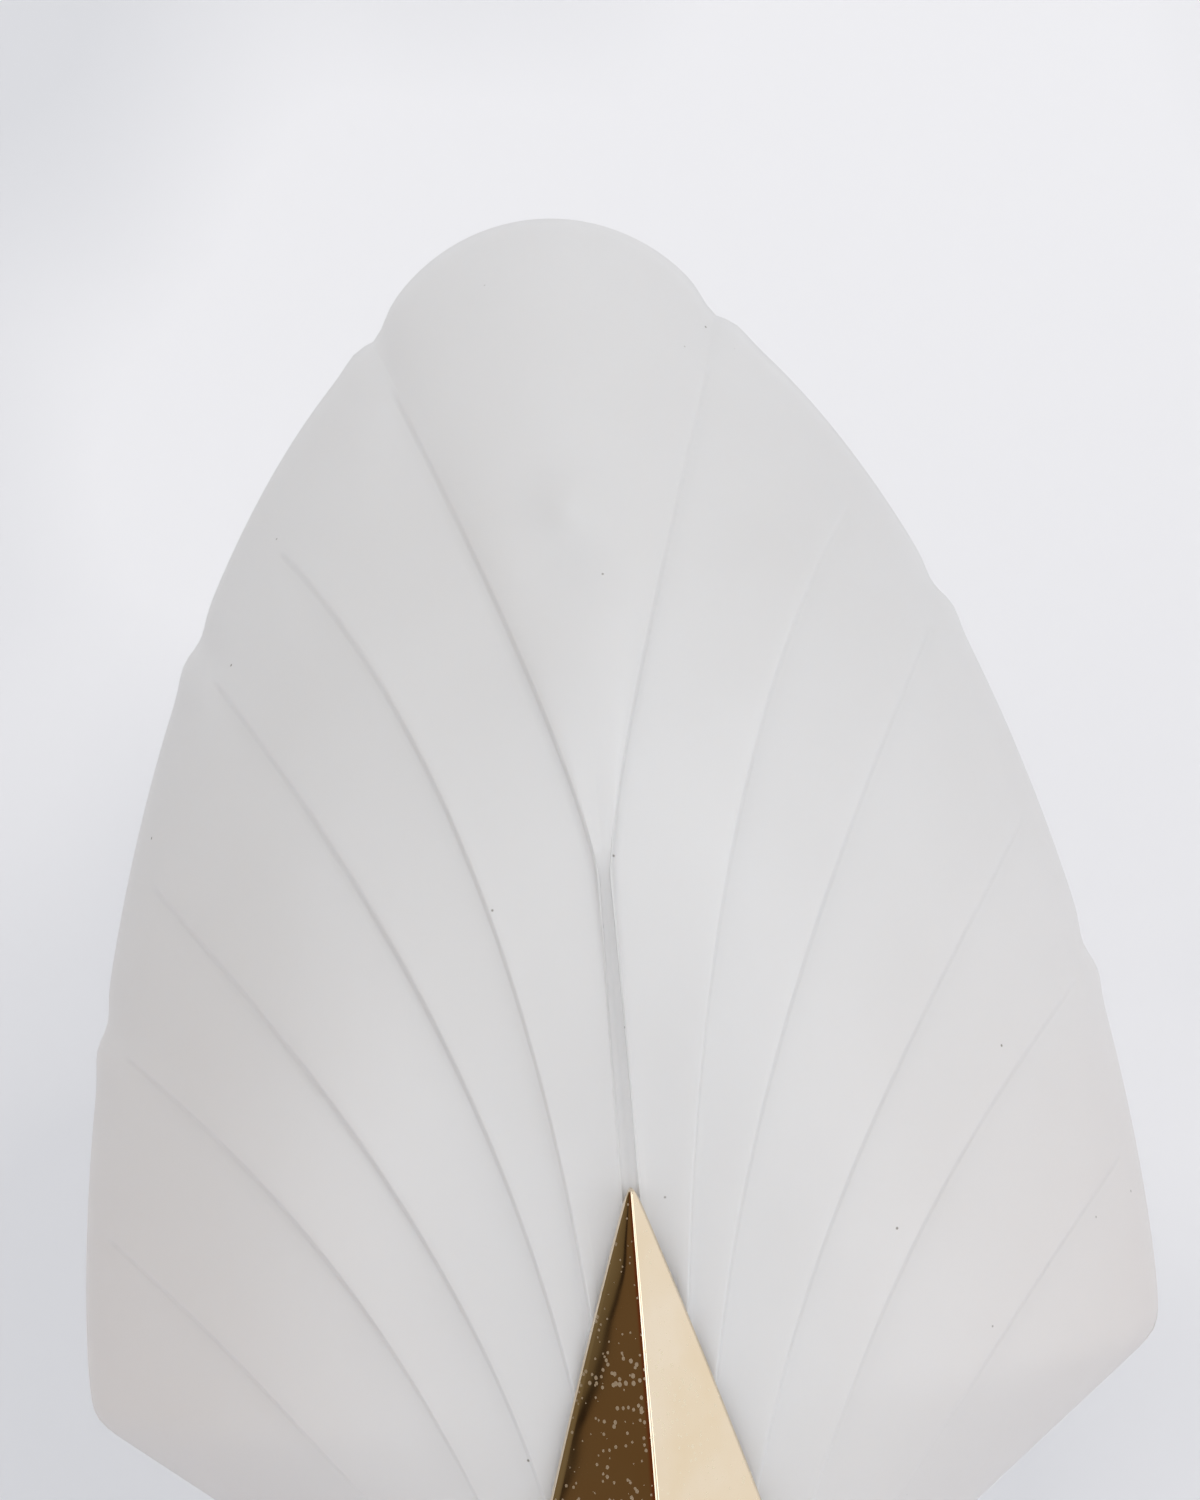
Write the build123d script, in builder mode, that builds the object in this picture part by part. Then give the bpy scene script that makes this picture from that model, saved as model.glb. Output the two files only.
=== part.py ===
"""Shell wall sconce: a pressed satin glass shell with a fan of ribs, clamped to a
steel carrier by a faceted brass pyramid, with one lamp standing behind the glass.

Millimetres. X is to the viewer's right, Y runs into the wall and Z is up.
The origin is on the wall, at the middle of the wall plate. Inside this file a place
is told as (x, depth, height): depth is measured out from the wall, and height is
measured up from the foot of the brass cover.
"""
from build123d import *
from math import atan2, cos, hypot, pi, radians, sin, sqrt, tan
import os

os.makedirs("parts", exist_ok=True)

# ---------------------------------------------------------------- driving sizes
# wall plate and its place
plate_height = 190.0          # height of the plate's middle, which is the origin
plate_wide = 100.0
plate_tall = 156.0
plate_thick = 2.0
plate_corner = 8.0
fixing_spacing = 70.0         # between the two wall screws
fixing_bore = 5.0
fixing_slot = 12.0            # length of each slot, end to end
cable_bore = 18.0             # hole in the plate for the supply cable

# glass shell, seen from the front
foot_height = 12.0            # where the glass is cut straight under the brass
half_width = 147.5            # at the widest place
widest_height = 100.0
outline_top = 405.0           # top of the smooth outline that the lobes stand on
outline_bulge = 1.75          # how full the flanks are, 2 and 0.5 give an ellipse
outline_round = 0.53
top_lobe_centre = 369.0
top_lobe_radius = 44.7
notch_step = 2.4              # how far a lower lobe sticks out of the one above
notch_depth = 0.15            # share of a line over which the rim swings to its notch
edge_slope = 37.9             # angle of the straight bottom edges, degrees
corner_soft = 5.0             # rounding of the two lower corners
# glass shell, seen from the side
rim_gap = 8.0                 # between the wall and the ground rim of the glass
crest_rise = 105.0            # the deepest place of the bowl, above the rim
crest_height = 190.0
crest_top = 414.5             # where the crest line comes down to the rim
bowl_top = 425.0              # top of the outline that the bowl's arcs span
crest_foot_fall = 300.0       # how slowly the crest falls towards the foot
rim_angle = 70.0              # steepness of the side walls at the rim, degrees
glass_wall = 5.0
# ribs of the glass
rib_step = 1.9                # each petal drops this far at its outer rib
rib_band = 2.4                # width of that drop, in the front view
rib_round = 0.3               # extra width of the drop at the rim
rib_tip_gap = 12.0            # ribs fade out this far from the rim
rib_fade = 16.0
petal_hollow = 1.5            # above 1 the petals are a little hollow
rib_rise_height = 140.0       # the ribs reach their full relief here, above the foot
boss_height = 331.0           # soft round boss in the middle of the top petal
boss_radius = 9.0
boss_proud = 2.2
# open slot in the foot of the glass, behind the brass, for the clamp screw
clamp_height = 70.0
slot_above = 6.0              # the slot ends this far above the screw
slot_beside = 3.5             # and its edges stand this far off the sleeve at the foot
slot_ease = 0.38              # lines beside the slot close up over this share

# brass pyramid cover
cover_tip_height = 158.5      # where its sides would meet, over the rounded tip
cover_tip_round = 1.5
cover_bow = 1.6               # how far its two long sides bow out
cover_foot_height = 0.0
cover_half_foot = 48.0        # half the width at the foot
cover_tip_depth = 112.8
cover_ridge_foot_depth = 132.0
cover_edge_foot_depth = 88.5
cover_rear_depth = 46.0
cover_wall = 1.6
cover_glass_gap = 0.9
bridge_tall = 20.0
bridge_thick = 6.0

# clamp
screw_radius = 3.0
screw_reach = 1.0             # how far the screw shows past the bridge
thumb_radius = 8.0
thumb_long = 8.0
thumb_flutes = 18
pad_thick = 2.0               # where the glass comes nearest to the metal
pad_radius = 12.0
front_pad_gap = 0.3           # between a moulded pad and the glass
rear_pad_gap = 1.25
sleeve_radius = 4.3
sleeve_clear = 0.25

# carrier arm
arm_wide = 26.0
arm_thick = 2.5
arm_height = 122.0            # underside of the shelf that carries the lampholder
arm_bend = 4.0                # inside radius of the bends
arm_foot_tall = 30.0          # the part that lies on the wall plate
arm_tab_below = 12.0          # the tab ends this far under the clamp screw
arm_screw_spacing = 14.0

# upper rest, a strap whose soft tip steadies the glass behind the boss
rest_wide = 10.0
rest_thick = 2.0
rest_height = 326.0
rest_bend = 4.0
rest_foot_tall = 26.0
bumper_radius = 5.0
rest_glass_gap = 0.85
bumper_edge = 1.5             # rubber at each side of the strap

# lampholder
lamp_depth = 48.0             # of the vertical lamp axis
nipple_radius = 5.0
nipple_bore = 3.6
nipple_below = 12.0           # below the shelf
nut_across = 14.0
nut_thick = 5.0
holder_foot_height = 170.0
holder_radius = 20.0
holder_tall = 56.0
holder_wall = 1.8
foot_cap_tall = 16.0          # with the neck that the skirt screws over
foot_cap_rim = 12.0           # up to the skirt
foot_cap_shoulder = 11.0
foot_cap_flat = 6.0           # width of the flat round the nipple
disc_thick = 5.0
socket_radius = 13.9          # inside of the brass screw shell
socket_wall = 0.5
socket_tall = 24.0

# lamp, an opal bulb with a 27 mm screw cap
cap_radius = 13.2
cap_tall = 24.0
bulb_radius = 30.0
bulb_tall = 104.0             # contact to top
contact_radius = 4.0
lamp_clear = 0.3

# terminal block, earth point and leads
block_wide = 22.0
block_tall = 20.0
block_deep = 14.0
block_x = 30.0
block_height = 152.0
pole_spacing = 10.0
lead_radius = 1.1
lead_gap = 0.4
lead_sway = 12.0              # how far the leads step to the side and forward
lead_entry = 7.0              # and how far off the lamp axis they turn up
earth_x = -32.0
earth_height = 132.0
small_screw_radius = 2.0
small_head_radius = 3.8
small_head_tall = 2.4

# ---------------------------------------------------------------- places and planes
def at(x, depth, height):
    """A place in the model, from its x, its depth off the wall and its height."""
    return Vector(x, -depth, height - plate_height)


def facing(depth, height=plate_height, x=0.0):
    """A plane parallel to the wall: x to the right, y up, normal to the viewer."""
    return Plane(origin=at(x, depth, height), x_dir=(1, 0, 0), z_dir=(0, -1, 0))


def level(height, depth=lamp_depth, x=0.0):
    """A level plane, with its normal up."""
    return Plane(origin=at(x, depth, height), x_dir=(1, 0, 0), z_dir=(0, 0, 1))


def sideways(x):
    """An upright plane square to the wall: its x is the depth, its y is the height,
    and its normal points to the viewer's left."""
    return Plane(origin=at(x, 0, 0), x_dir=(0, -1, 0), z_dir=(-1, 0, 0))


def save(part, name):
    """Label a finished piece and write it under its own name."""
    part.label = name
    export_step(part, f"parts/{name}.step")


# ---------------------------------------------------------------- form of the glass
def edge_line(height):
    """Half width of the shell along its straight bottom edge."""
    foot_half = (widest_height - foot_height) / tan(radians(edge_slope))
    reach = half_width + corner_soft
    return reach - foot_half + (height - foot_height) / tan(radians(edge_slope))


def outline(height, inset=0.0, top=outline_top):
    """Half width of the smooth outline at a height: a full curve above the widest
    place, and below it the straight edge, with the corner between them softened."""
    if height > widest_height:
        rise = min((height - widest_height) / (top - widest_height), 0.9999)
        flank = half_width * (1 - rise ** outline_bulge) ** outline_round
    else:
        flank = half_width
    gap = flank - edge_line(height)
    smooth = (flank + edge_line(height) - hypot(gap, corner_soft)) / 2
    return max(smooth - inset, 1.0)


def crest(height, inset=0.0):
    """Rise of the bowl above its rim along the middle line."""
    above = height > crest_height
    reach = crest_top - crest_height if above else crest_foot_fall
    return crest_rise * (1 - ((height - crest_height) / reach) ** 2) - inset


def bowl(x, height, inset=0.0):
    """Rise of the smooth bowl: each level cut is a circular arc that ends at
    rim_angle, as high as the crest, on an outline carried on over the top lobe."""
    share = min(abs(x) / outline(height, inset, bowl_top), 1.05)
    turn = radians(rim_angle)
    arc = (sqrt(1 - (share * sin(turn)) ** 2) - cos(turn)) / (1 - cos(turn))
    return crest(height, inset) * arc


def glass_depth(x, height, inset=0.0):
    """Depth of the smooth glass off the wall."""
    return rim_gap + bowl(x, height, inset)


def smooth_step(value):
    """0 below 0, 1 above 1, and a smooth rise between."""
    value = min(max(value, 0.0), 1.0)
    return value * value * (3 - 2 * value)


# Front view of each rib: its foot at the cut, the place where it starts to bend, the
# corner that its bend leans towards, and its end at the rim.
foot_half_width = outline(foot_height)
rib_ends = [384.0, 338.5, 304.0, 248.0, 201.5, 152.0]
rib_feet = [foot_half_width * (0.099 + 0.132 * n) for n in range(len(rib_ends))]
rib_bends = [(0.3 * rib_feet[0], 235)] + [(x, foot_height) for x in rib_feet[1:]]
lean_shares = [0.034, 0.027, 0.020, 0.136, 0.359, 0.624]      # of the half width
lean_heights = [272, 250, 165, 136, 145, 119]
rib_leans = [(half_width * x, height) for x, height in zip(lean_shares, lean_heights)]
rib_notched = [True, False, True, False, True, False]
corner_ends = [134.0, 118.0, 104.0, 96.0]
petal_lines = 2               # lines between two ribs that carry a petal's hollow
spans = 12
stations = [1 - (1 - n / spans) ** 1.4 for n in range(spans + 1)]


def bend(start, lean, end, t):
    """A point on the parabola from start to end whose sides lean towards lean."""
    a, b, c = (1 - t) ** 2, 2 * t * (1 - t), t * t
    return (a * start[0] + b * lean[0] + c * end[0],
            a * start[1] + b * lean[1] + c * end[1])


def rim_normal(height):
    """Outward direction of the outline, in the front view."""
    step = 1.0
    run = outline(height + step) - outline(height - step)
    long = hypot(run, 2 * step)
    return (2 * step / long, -run / long)


def rim_point(height):
    """A place on the smooth outline."""
    return (outline(height), height)


def top_lobe(share):
    """A place on the top lobe, from its middle (0) to its notch (1)."""
    side, rise = outline(rib_ends[0]), rib_ends[0] - top_lobe_centre
    angle = pi / 2 + share * (atan2(rise, side) - pi / 2)
    radius = top_lobe_radius + share ** 2 * (hypot(side, rise) - top_lobe_radius)
    return (radius * cos(angle), top_lobe_centre + radius * sin(angle))


class RibLine:
    """One line of the shell's surface from the foot to the rim, in the front view."""

    def __init__(self, foot, start, lean, end, petal, normal, proud=0.0):
        self.foot, self.start, self.lean, self.end = foot, start, lean, end
        self.petal, self.normal, self.proud = petal, normal, proud
        self.slot = 0.0

    def along(self, s):
        """Share of the line, from the top of the slot where one cuts it short."""
        if s >= slot_ease:
            return s
        return self.slot + (slot_ease - self.slot) * s / slot_ease

    def place(self, s):
        """The place at a share s of the way from the foot to the rim."""
        straight = (self.start[1] - self.foot[1]) / (self.end[1] - self.foot[1])
        if straight > 0 and s < straight:
            t = s / straight
            return (self.foot[0] + t * (self.start[0] - self.foot[0]),
                    self.foot[1] + t * (self.start[1] - self.foot[1]))
        t = (s - straight) / (1 - straight)
        return bend(self.start, self.lean, self.end, t)

    def relief(self, s):
        """Height of the petals here: low at a rib's outer foot, high at the next."""
        x, height = self.place(s)
        room = hypot(self.end[0] - x, self.end[1] - height) - rib_tip_gap
        fade = smooth_step(room / rib_fade) * smooth_step(height / rib_rise_height)
        return rib_step * (self.petal ** petal_hollow - 0.5) * fade

    def outside(self, s, side):
        """A point on the outer face, on the right (side 1) or the left (side -1)."""
        s = self.along(s)
        x, height = self.place(s)
        rise = bowl(x, height) - bowl(*self.end) * s ** 6 + self.relief(s)
        if s == 1.0:
            rise = 0.0
        x, height = self.swung(x, height, s)
        return at(side * x, rim_gap + rise, height)

    def inside(self, s, side):
        """The point of the smooth inner face behind it."""
        s = self.along(s)
        x, height = self.shifted(s)
        end = self.shifted(1.0)
        rise = bowl(x, height, glass_wall) - bowl(*end, glass_wall) * s ** 6
        if s == 1.0:
            rise = 0.0
        x, height = self.swung(x, height, s)
        return at(side * x, rim_gap + max(rise, 0.0), height)

    def swung(self, x, height, s):
        """The front-view place swung out or in towards a notch, close to the rim."""
        swing = self.proud * smooth_step(1 - (1 - s) / notch_depth)
        return (x + swing * self.normal[0], height + swing * self.normal[1])

    def shifted(self, s):
        """The front-view place moved in by the glass wall."""
        x, height = self.place(s)
        foot_shift = glass_wall * self.foot[0] / foot_half_width
        return (x - (1 - s) * foot_shift - s * glass_wall * self.normal[0],
                height - s * glass_wall * self.normal[1])


def between(low, high, share):
    """Blend two pairs."""
    return tuple(a + share * (b - a) for a, b in zip(low, high))


class PetalLine(RibLine):
    """A line inside a petal: between its two bounding lines at each share of the way,
    and drawn out to its own place on the rim."""

    def __init__(self, low, high, end, petal, normal, proud=0.0):
        foot = between(low.foot, high.foot, petal)
        super().__init__(foot, foot, foot, end, petal, normal, proud)
        self.low, self.high = low, high

    def place(self, s):
        x, height = between(self.low.place(s), self.high.place(s), self.petal)
        chord = between(self.low.end, self.high.end, self.petal)
        return (x + s ** 2 * (self.end[0] - chord[0]),
                height + s ** 2 * (self.end[1] - chord[1]))


def slot_share(line):
    """Share of a line at which it clears the top of the slot."""
    low, high = 0.0, slot_ease
    while high - low > 1e-6:
        middle = (low + high) / 2
        if line.place(middle)[1] < clamp_height + slot_above:
            low = middle
        else:
            high = middle
    return high


def shell_lines():
    """All lines of the right half, from the middle to the bottom edge."""
    cut = foot_height
    lines = [RibLine((0, cut), (0, 235), (0, 272), top_lobe(0), 0.0, (0, 1))]
    for n, end_height in enumerate(rib_ends):
        foot, start, lean = (rib_feet[n], cut), rib_bends[n], rib_leans[n]
        notch = notch_step / 2 if rib_notched[n] else 0.0
        low = lines[-1]
        rib = RibLine(foot, start, lean, rim_point(end_height), 1.0,
                      rim_normal(end_height), -notch)
        for m in range(1, petal_lines + 1):
            share = m / (petal_lines + 1)
            proud = low.proud * (1 - share) ** 4 - notch * share ** 4
            if n == 0:
                end = top_lobe(share)
                turn = atan2(end[1] - top_lobe_centre, end[0])
                normal = (cos(turn), sin(turn))
            else:
                height = low.end[1] + share * (end_height - low.end[1])
                end, normal = rim_point(height), rim_normal(height)
            lines.append(PetalLine(low, rib, end, share, normal, proud))
        lines.append(rib)
        # the outer foot of the rib, a band lower down the fan
        height = end_height - rib_band * rim_normal(end_height)[0] - rib_round
        lines.append(RibLine((foot[0] + rib_band / 3, cut), (start[0] + rib_band / 3, start[1]),
                             (lean[0] + rib_band / 2, lean[1] - rib_band / 2),
                             rim_point(height), 0.0, rim_normal(height), notch))
    edge_foot = (foot_half_width, cut)
    edge_end = rim_point(corner_ends[-1] - corner_soft)
    edge = EdgeLine(edge_foot, edge_foot, between(edge_foot, edge_end, 0.5), edge_end, 0.0,
                    (sin(radians(edge_slope)), -cos(radians(edge_slope))))
    low = lines[-1]
    for m, height in enumerate(corner_ends, start=1):
        share = m / (len(corner_ends) + 1)
        lines.append(PetalLine(low, edge, rim_point(height), share, rim_normal(height)))
    lines.append(edge)
    for line in lines:
        if line.foot[0] < sleeve_radius + slot_beside:
            line.slot = slot_share(line)
    return lines


def section(line, side):
    """The closed cut through the glass along one line: outside, rim, inside, foot."""
    outer = [line.outside(s, side) for s in stations]
    inner = [line.inside(s, side) for s in reversed(stations)]
    back = [1 - s for s in reversed(stations)]
    return Wire([Edge.make_spline(outer, parameters=stations),
                 Edge.make_line(outer[-1], inner[0]),
                 Edge.make_spline(inner, parameters=back),
                 Edge.make_line(inner[-1], outer[0])])


class EdgeLine(RibLine):
    """The straight bottom edge, which lies in the plane of the rim all along."""

    def outside(self, s, side):
        x, height = self.place(s)
        return at(side * x, rim_gap, height)

    def inside(self, s, side):
        x, height = self.shifted(s)
        return at(side * x, rim_gap, height)


right_lines = shell_lines()
sections = [section(line, -1) for line in reversed(right_lines[1:])]
sections += [section(line, 1) for line in right_lines]

boss_slope = glass_depth(0, boss_height - 1) - glass_depth(0, boss_height + 1)
boss_way = Vector(0, -2, boss_slope).normalized()
boss_root = at(0, glass_depth(0, boss_height) - rib_step / 2, boss_height)
with BuildPart() as boss:
    with BuildSketch(Plane(origin=boss_root - boss_way * glass_wall / 2, x_dir=(1, 0, 0),
                           z_dir=boss_way)):
        Circle(boss_radius)
    extrude(amount=glass_wall / 2 + boss_proud)
    fillet(boss.faces().sort_by(Axis.Y)[0].edges(), boss_proud * 0.9)

with BuildPart() as glass_shell:
    add(Solid.make_loft(sections, ruled=True))
    add(boss.part)
save(glass_shell.part, "glass_shell")

# ---------------------------------------------------------------- brass pyramid cover
ridge_foot = at(0, cover_ridge_foot_depth, cover_foot_height)
ridge_tip = at(0, cover_tip_depth, cover_tip_height)


def facet(side, inset=0.0):
    """The plane of one front facet, its normal out of the brass, moved in by inset."""
    corner = at(side * cover_half_foot, cover_edge_foot_depth, cover_foot_height)
    normal = (corner - ridge_foot).cross(ridge_tip - ridge_foot) * side
    normal = normal.normalized()
    return Plane(origin=ridge_foot - normal * inset, z_dir=normal)


def wedge(inset, rear):
    """The pyramid as a solid block, moved in by inset on every face but the rear."""
    tip, foot, half = cover_tip_height, cover_foot_height, cover_half_foot
    with BuildPart() as block:
        with BuildSketch(facing(rear, 0)) as front:
            with BuildLine():
                Line((-half, foot), (half, foot))
                ThreePointArc((half, foot), (half / 2 + cover_bow, (foot + tip) / 2), (0, tip))
                ThreePointArc((0, tip), (-half / 2 - cover_bow, (foot + tip) / 2), (-half, foot))
            make_face()
            fillet(front.vertices().sort_by(Axis.Z)[-1], cover_tip_round)
            if inset:
                offset(amount=-inset)
        extrude(amount=cover_ridge_foot_depth - rear + 1)
        split(bisect_by=facet(1, inset), keep=Keep.BOTTOM)
        split(bisect_by=facet(-1, inset), keep=Keep.BOTTOM)
    return block.part


def glass_slice(height, proud, inset=0.0):
    """A level cut of the space behind a face of the glass, moved out by proud."""
    half = min(outline(height, inset), cover_half_foot + 10)
    shares = [-1, -0.85, -0.6, -0.3, 0, 0.3, 0.6, 0.85, 1]
    face = [at(half * n, glass_depth(half * n, height, inset) + proud, height) for n in shares]
    back = [at(half, 0, height), at(-half, 0, height)]
    return Wire([Edge.make_spline(face), Edge.make_line(face[-1], back[0]),
                 Edge.make_line(back[0], back[1]), Edge.make_line(back[1], face[0])])


def glass_space(proud, inset=0.0):
    """The space behind a face of the glass, from its foot to above the brass."""
    rise = cover_tip_height + 10 - foot_height
    heights = [foot_height + n * rise / 8 for n in range(9)]
    return Solid.make_loft([glass_slice(h, proud, inset) for h in heights], ruled=True)


with BuildPart() as pyramid_cover:
    add(wedge(0.0, cover_rear_depth))
    add(wedge(cover_wall, cover_rear_depth - 5), mode=Mode.SUBTRACT)
    add(glass_space(rib_step / 2 + cover_glass_gap), mode=Mode.SUBTRACT)
save(pyramid_cover.part, "pyramid_cover")

# ---------------------------------------------------------------- clamp through the glass
clamp_relief = rib_step / 2 * smooth_step(clamp_height / rib_rise_height)
bridge_back = glass_depth(0, clamp_height + pad_radius) + clamp_relief + pad_thick
tab_front = glass_depth(pad_radius, clamp_height - pad_radius, glass_wall) - pad_thick

# The bridge is a brass bar soldered between the two facets, tapped for the screw.
with BuildPart() as cover_bridge:
    with BuildSketch(facing(bridge_back, clamp_height)):
        Rectangle(2 * cover_half_foot, bridge_tall)
    extrude(amount=bridge_thick)
    add(wedge(cover_wall, cover_rear_depth), mode=Mode.INTERSECT)
    with BuildSketch(facing(bridge_back, clamp_height)):
        Circle(screw_radius)
    extrude(amount=bridge_thick, mode=Mode.SUBTRACT)
save(cover_bridge.part, "cover_bridge")

# Moulded wedges of clear silicone carry the curved glass between the flat faces.
for name, low, high in (("front_pad", glass_depth(0, clamp_height - pad_radius), bridge_back),
                        ("rear_pad", tab_front, glass_depth(0, clamp_height))):
    with BuildPart() as pad:
        with BuildSketch(facing(low - pad_thick if name == "front_pad" else low, clamp_height)):
            Circle(pad_radius)
            Circle(sleeve_radius, mode=Mode.SUBTRACT)
        extrude(amount=high - low + (pad_thick if name == "front_pad" else 0))
        if name == "front_pad":
            add(glass_space(clamp_relief + front_pad_gap), mode=Mode.SUBTRACT)
        else:
            add(glass_space(-rear_pad_gap, glass_wall), mode=Mode.INTERSECT)
    save(pad.part, name)

with BuildPart() as clamp_sleeve:
    with BuildSketch(facing(tab_front, clamp_height)):
        Circle(sleeve_radius)
        Circle(screw_radius + sleeve_clear, mode=Mode.SUBTRACT)
    extrude(amount=bridge_back - tab_front)
save(clamp_sleeve.part, "clamp_sleeve")

# The thumb screw goes in from behind the carrier's tab and ends in the bridge.
tab_back = tab_front - arm_thick
screw_end = bridge_back + bridge_thick + screw_reach
with BuildPart() as thumb_screw:
    with BuildSketch(facing(tab_back - thumb_long, clamp_height)):
        Circle(thumb_radius)
        with PolarLocations(thumb_radius + 0.35, thumb_flutes):
            Circle(0.9, mode=Mode.SUBTRACT)
    extrude(amount=thumb_long)
    with BuildSketch(facing(tab_back, clamp_height)):
        Circle(screw_radius)
    extrude(amount=screw_end - tab_back)
save(thumb_screw.part, "thumb_screw")

# ---------------------------------------------------------------- wall plate
arm_screw_height = arm_height + arm_foot_tall - 8
rest_foot = plate_height + plate_tall / 2 - rest_foot_tall
rest_rivet_heights = [rest_foot + 7, rest_foot + rest_foot_tall - 7]
grommet_lip = 2.0
grommet_wall = 1.5

with BuildPart() as wall_plate:
    with BuildSketch(facing(0)):
        RectangleRounded(plate_wide, plate_tall, plate_corner)
        Circle(cable_bore / 2, mode=Mode.SUBTRACT)
        with GridLocations(fixing_spacing, 1, 2, 1):
            SlotOverall(fixing_slot, fixing_bore, mode=Mode.SUBTRACT)
    extrude(amount=plate_thick)
    with BuildSketch(facing(0, 0)):
        with Locations((-arm_screw_spacing / 2, arm_screw_height),
                       (arm_screw_spacing / 2, arm_screw_height),
                       (0, rest_rivet_heights[0]), (0, rest_rivet_heights[1]),
                       (earth_x, earth_height), (block_x, block_height)):
            Circle(small_screw_radius)
    extrude(amount=plate_thick, mode=Mode.SUBTRACT)
    chamfer(wall_plate.faces().sort_by(Axis.Y)[0].outer_wire().edges(), 0.4)
save(wall_plate.part, "wall_plate")

with BuildPart() as cable_grommet:
    with BuildSketch(Plane(origin=at(0, 0, plate_height), x_dir=(1, 0, 0), z_dir=(0, 0, 1))):
        with BuildLine():
            outer, inner = cable_bore / 2, cable_bore / 2 - grommet_wall
            Polyline((inner, 0), (outer, 0), (outer, -plate_thick),
                     (outer + grommet_lip, -plate_thick),
                     (outer + grommet_lip, -plate_thick - grommet_wall),
                     (inner, -plate_thick - grommet_wall), close=True)
        make_face()
    revolve(axis=Axis(at(0, 0, plate_height), (0, 1, 0)))
save(cable_grommet.part, "cable_grommet")


def pan_screws(name, spots):
    """Pan-head screws seen from the front: (x, height, depth under the head)."""
    with BuildPart() as screws:
        for x, height, seat in spots:
            with BuildSketch(facing(seat, height, x)):
                Circle(small_head_radius)
            extrude(amount=small_head_tall, taper=12)
            with BuildSketch(facing(seat + small_head_tall, height, x)):
                Rectangle(2 * small_head_radius, 0.8)
            extrude(amount=-1.0, mode=Mode.SUBTRACT)
            with BuildSketch(facing(0.2, height, x)):
                Circle(small_screw_radius - 0.1)
            extrude(amount=seat - 0.2)
    save(screws.part, name)


def bent_strip(back, front, radii_back, radii_front, wide):
    """A strip of sheet steel bent square: the two long edges of its side profile, with
    the radius of each bend, and its width along X."""
    with BuildPart() as strip:
        with BuildSketch(sideways(wide / 2)):
            with BuildLine():
                FilletPolyline(*back, radius=radii_back)
                FilletPolyline(*front, radius=radii_front)
                Line(back[0], front[0])
                Line(back[-1], front[-1])
            make_face()
        extrude(amount=wide)
    return strip.part


# ---------------------------------------------------------------- carrier arm
arm_front = tab_front
arm_foot_front = plate_thick + arm_thick
arm_top = arm_height + arm_thick
arm_foot_top = arm_height + arm_foot_tall
tab_foot = clamp_height - arm_tab_below

with BuildPart() as carrier_arm:
    add(bent_strip([(plate_thick, arm_foot_top), (plate_thick, arm_height),
                    (arm_front - arm_thick, arm_height), (arm_front - arm_thick, tab_foot)],
                   [(arm_foot_front, arm_foot_top), (arm_foot_front, arm_top),
                    (arm_front, arm_top), (arm_front, tab_foot)],
                   [arm_bend + arm_thick, arm_bend], [arm_bend, arm_bend + arm_thick], arm_wide))
    with BuildSketch(facing(arm_front - arm_thick, clamp_height)):
        Circle(screw_radius + sleeve_clear)
    extrude(amount=arm_thick, mode=Mode.SUBTRACT)
    with BuildSketch(level(arm_height)):
        Circle(nipple_radius)
    extrude(amount=arm_thick, mode=Mode.SUBTRACT)
    with BuildSketch(facing(plate_thick, arm_screw_height)):
        with GridLocations(arm_screw_spacing, 1, 2, 1):
            Circle(small_screw_radius)
    extrude(amount=arm_thick, mode=Mode.SUBTRACT)
    tab_corners = carrier_arm.edges().filter_by(Axis.Y).group_by(Axis.Z)[0]
    fillet(tab_corners, arm_wide / 4)
save(carrier_arm.part, "carrier_arm")

pan_screws("arm_screws", [(side * arm_screw_spacing / 2, arm_screw_height, arm_foot_front)
                          for side in (-1, 1)])

# ---------------------------------------------------------------- upper rest
# The nose of the bumper stops just short of the sloping inner face of the glass.
inner_slope = glass_depth(0, rest_height, glass_wall) - glass_depth(0, rest_height + 1, glass_wall)
bumper_half = rest_wide / 2 + bumper_edge
corner_drop = glass_depth(0, rest_height, glass_wall) - glass_depth(bumper_half, rest_height, glass_wall)
nose_room = (bumper_radius + rest_glass_gap) * sqrt(1 + inner_slope ** 2) + corner_drop
nose_depth = glass_depth(0, rest_height, glass_wall) - nose_room
rest_top = rest_height + rest_thick / 2
rest_under = rest_height - rest_thick / 2
rest_front = plate_thick + rest_thick

with BuildPart() as rest_strap:
    add(bent_strip([(plate_thick, rest_foot), (plate_thick, rest_top), (nose_depth, rest_top)],
                   [(rest_front, rest_foot), (rest_front, rest_under), (nose_depth, rest_under)],
                   [rest_bend + rest_thick], [rest_bend], rest_wide))
    for rivet_height in rest_rivet_heights:
        with BuildSketch(facing(plate_thick, rivet_height)):
            Circle(small_screw_radius)
        extrude(amount=rest_thick, mode=Mode.SUBTRACT)
save(rest_strap.part, "rest_strap")

with BuildPart() as rest_rivets:
    for rivet_height in rest_rivet_heights:
        with BuildSketch(facing(0.2, rivet_height)):
            Circle(small_screw_radius)
        extrude(amount=rest_front - 0.2)
        with BuildSketch(facing(rest_front, rivet_height)):
            Circle(small_head_radius - 0.4)
        extrude(amount=small_head_tall / 2, taper=30)
save(rest_rivets.part, "rest_rivets")

with BuildPart() as rest_bumper:
    with BuildSketch(sideways(bumper_half)):
        with Locations((nose_depth - bumper_radius, rest_height)):
            SlotCenterToCenter(2 * bumper_radius, 2 * bumper_radius)
    extrude(amount=2 * bumper_half)
    with BuildSketch(facing(0, rest_height)):
        Rectangle(rest_wide, rest_thick)
    extrude(amount=nose_depth, mode=Mode.SUBTRACT)
save(rest_bumper.part, "rest_bumper")

# ---------------------------------------------------------------- lampholder
lamp_axis = Axis(at(0, lamp_depth, 0), (0, 0, 1))


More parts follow.
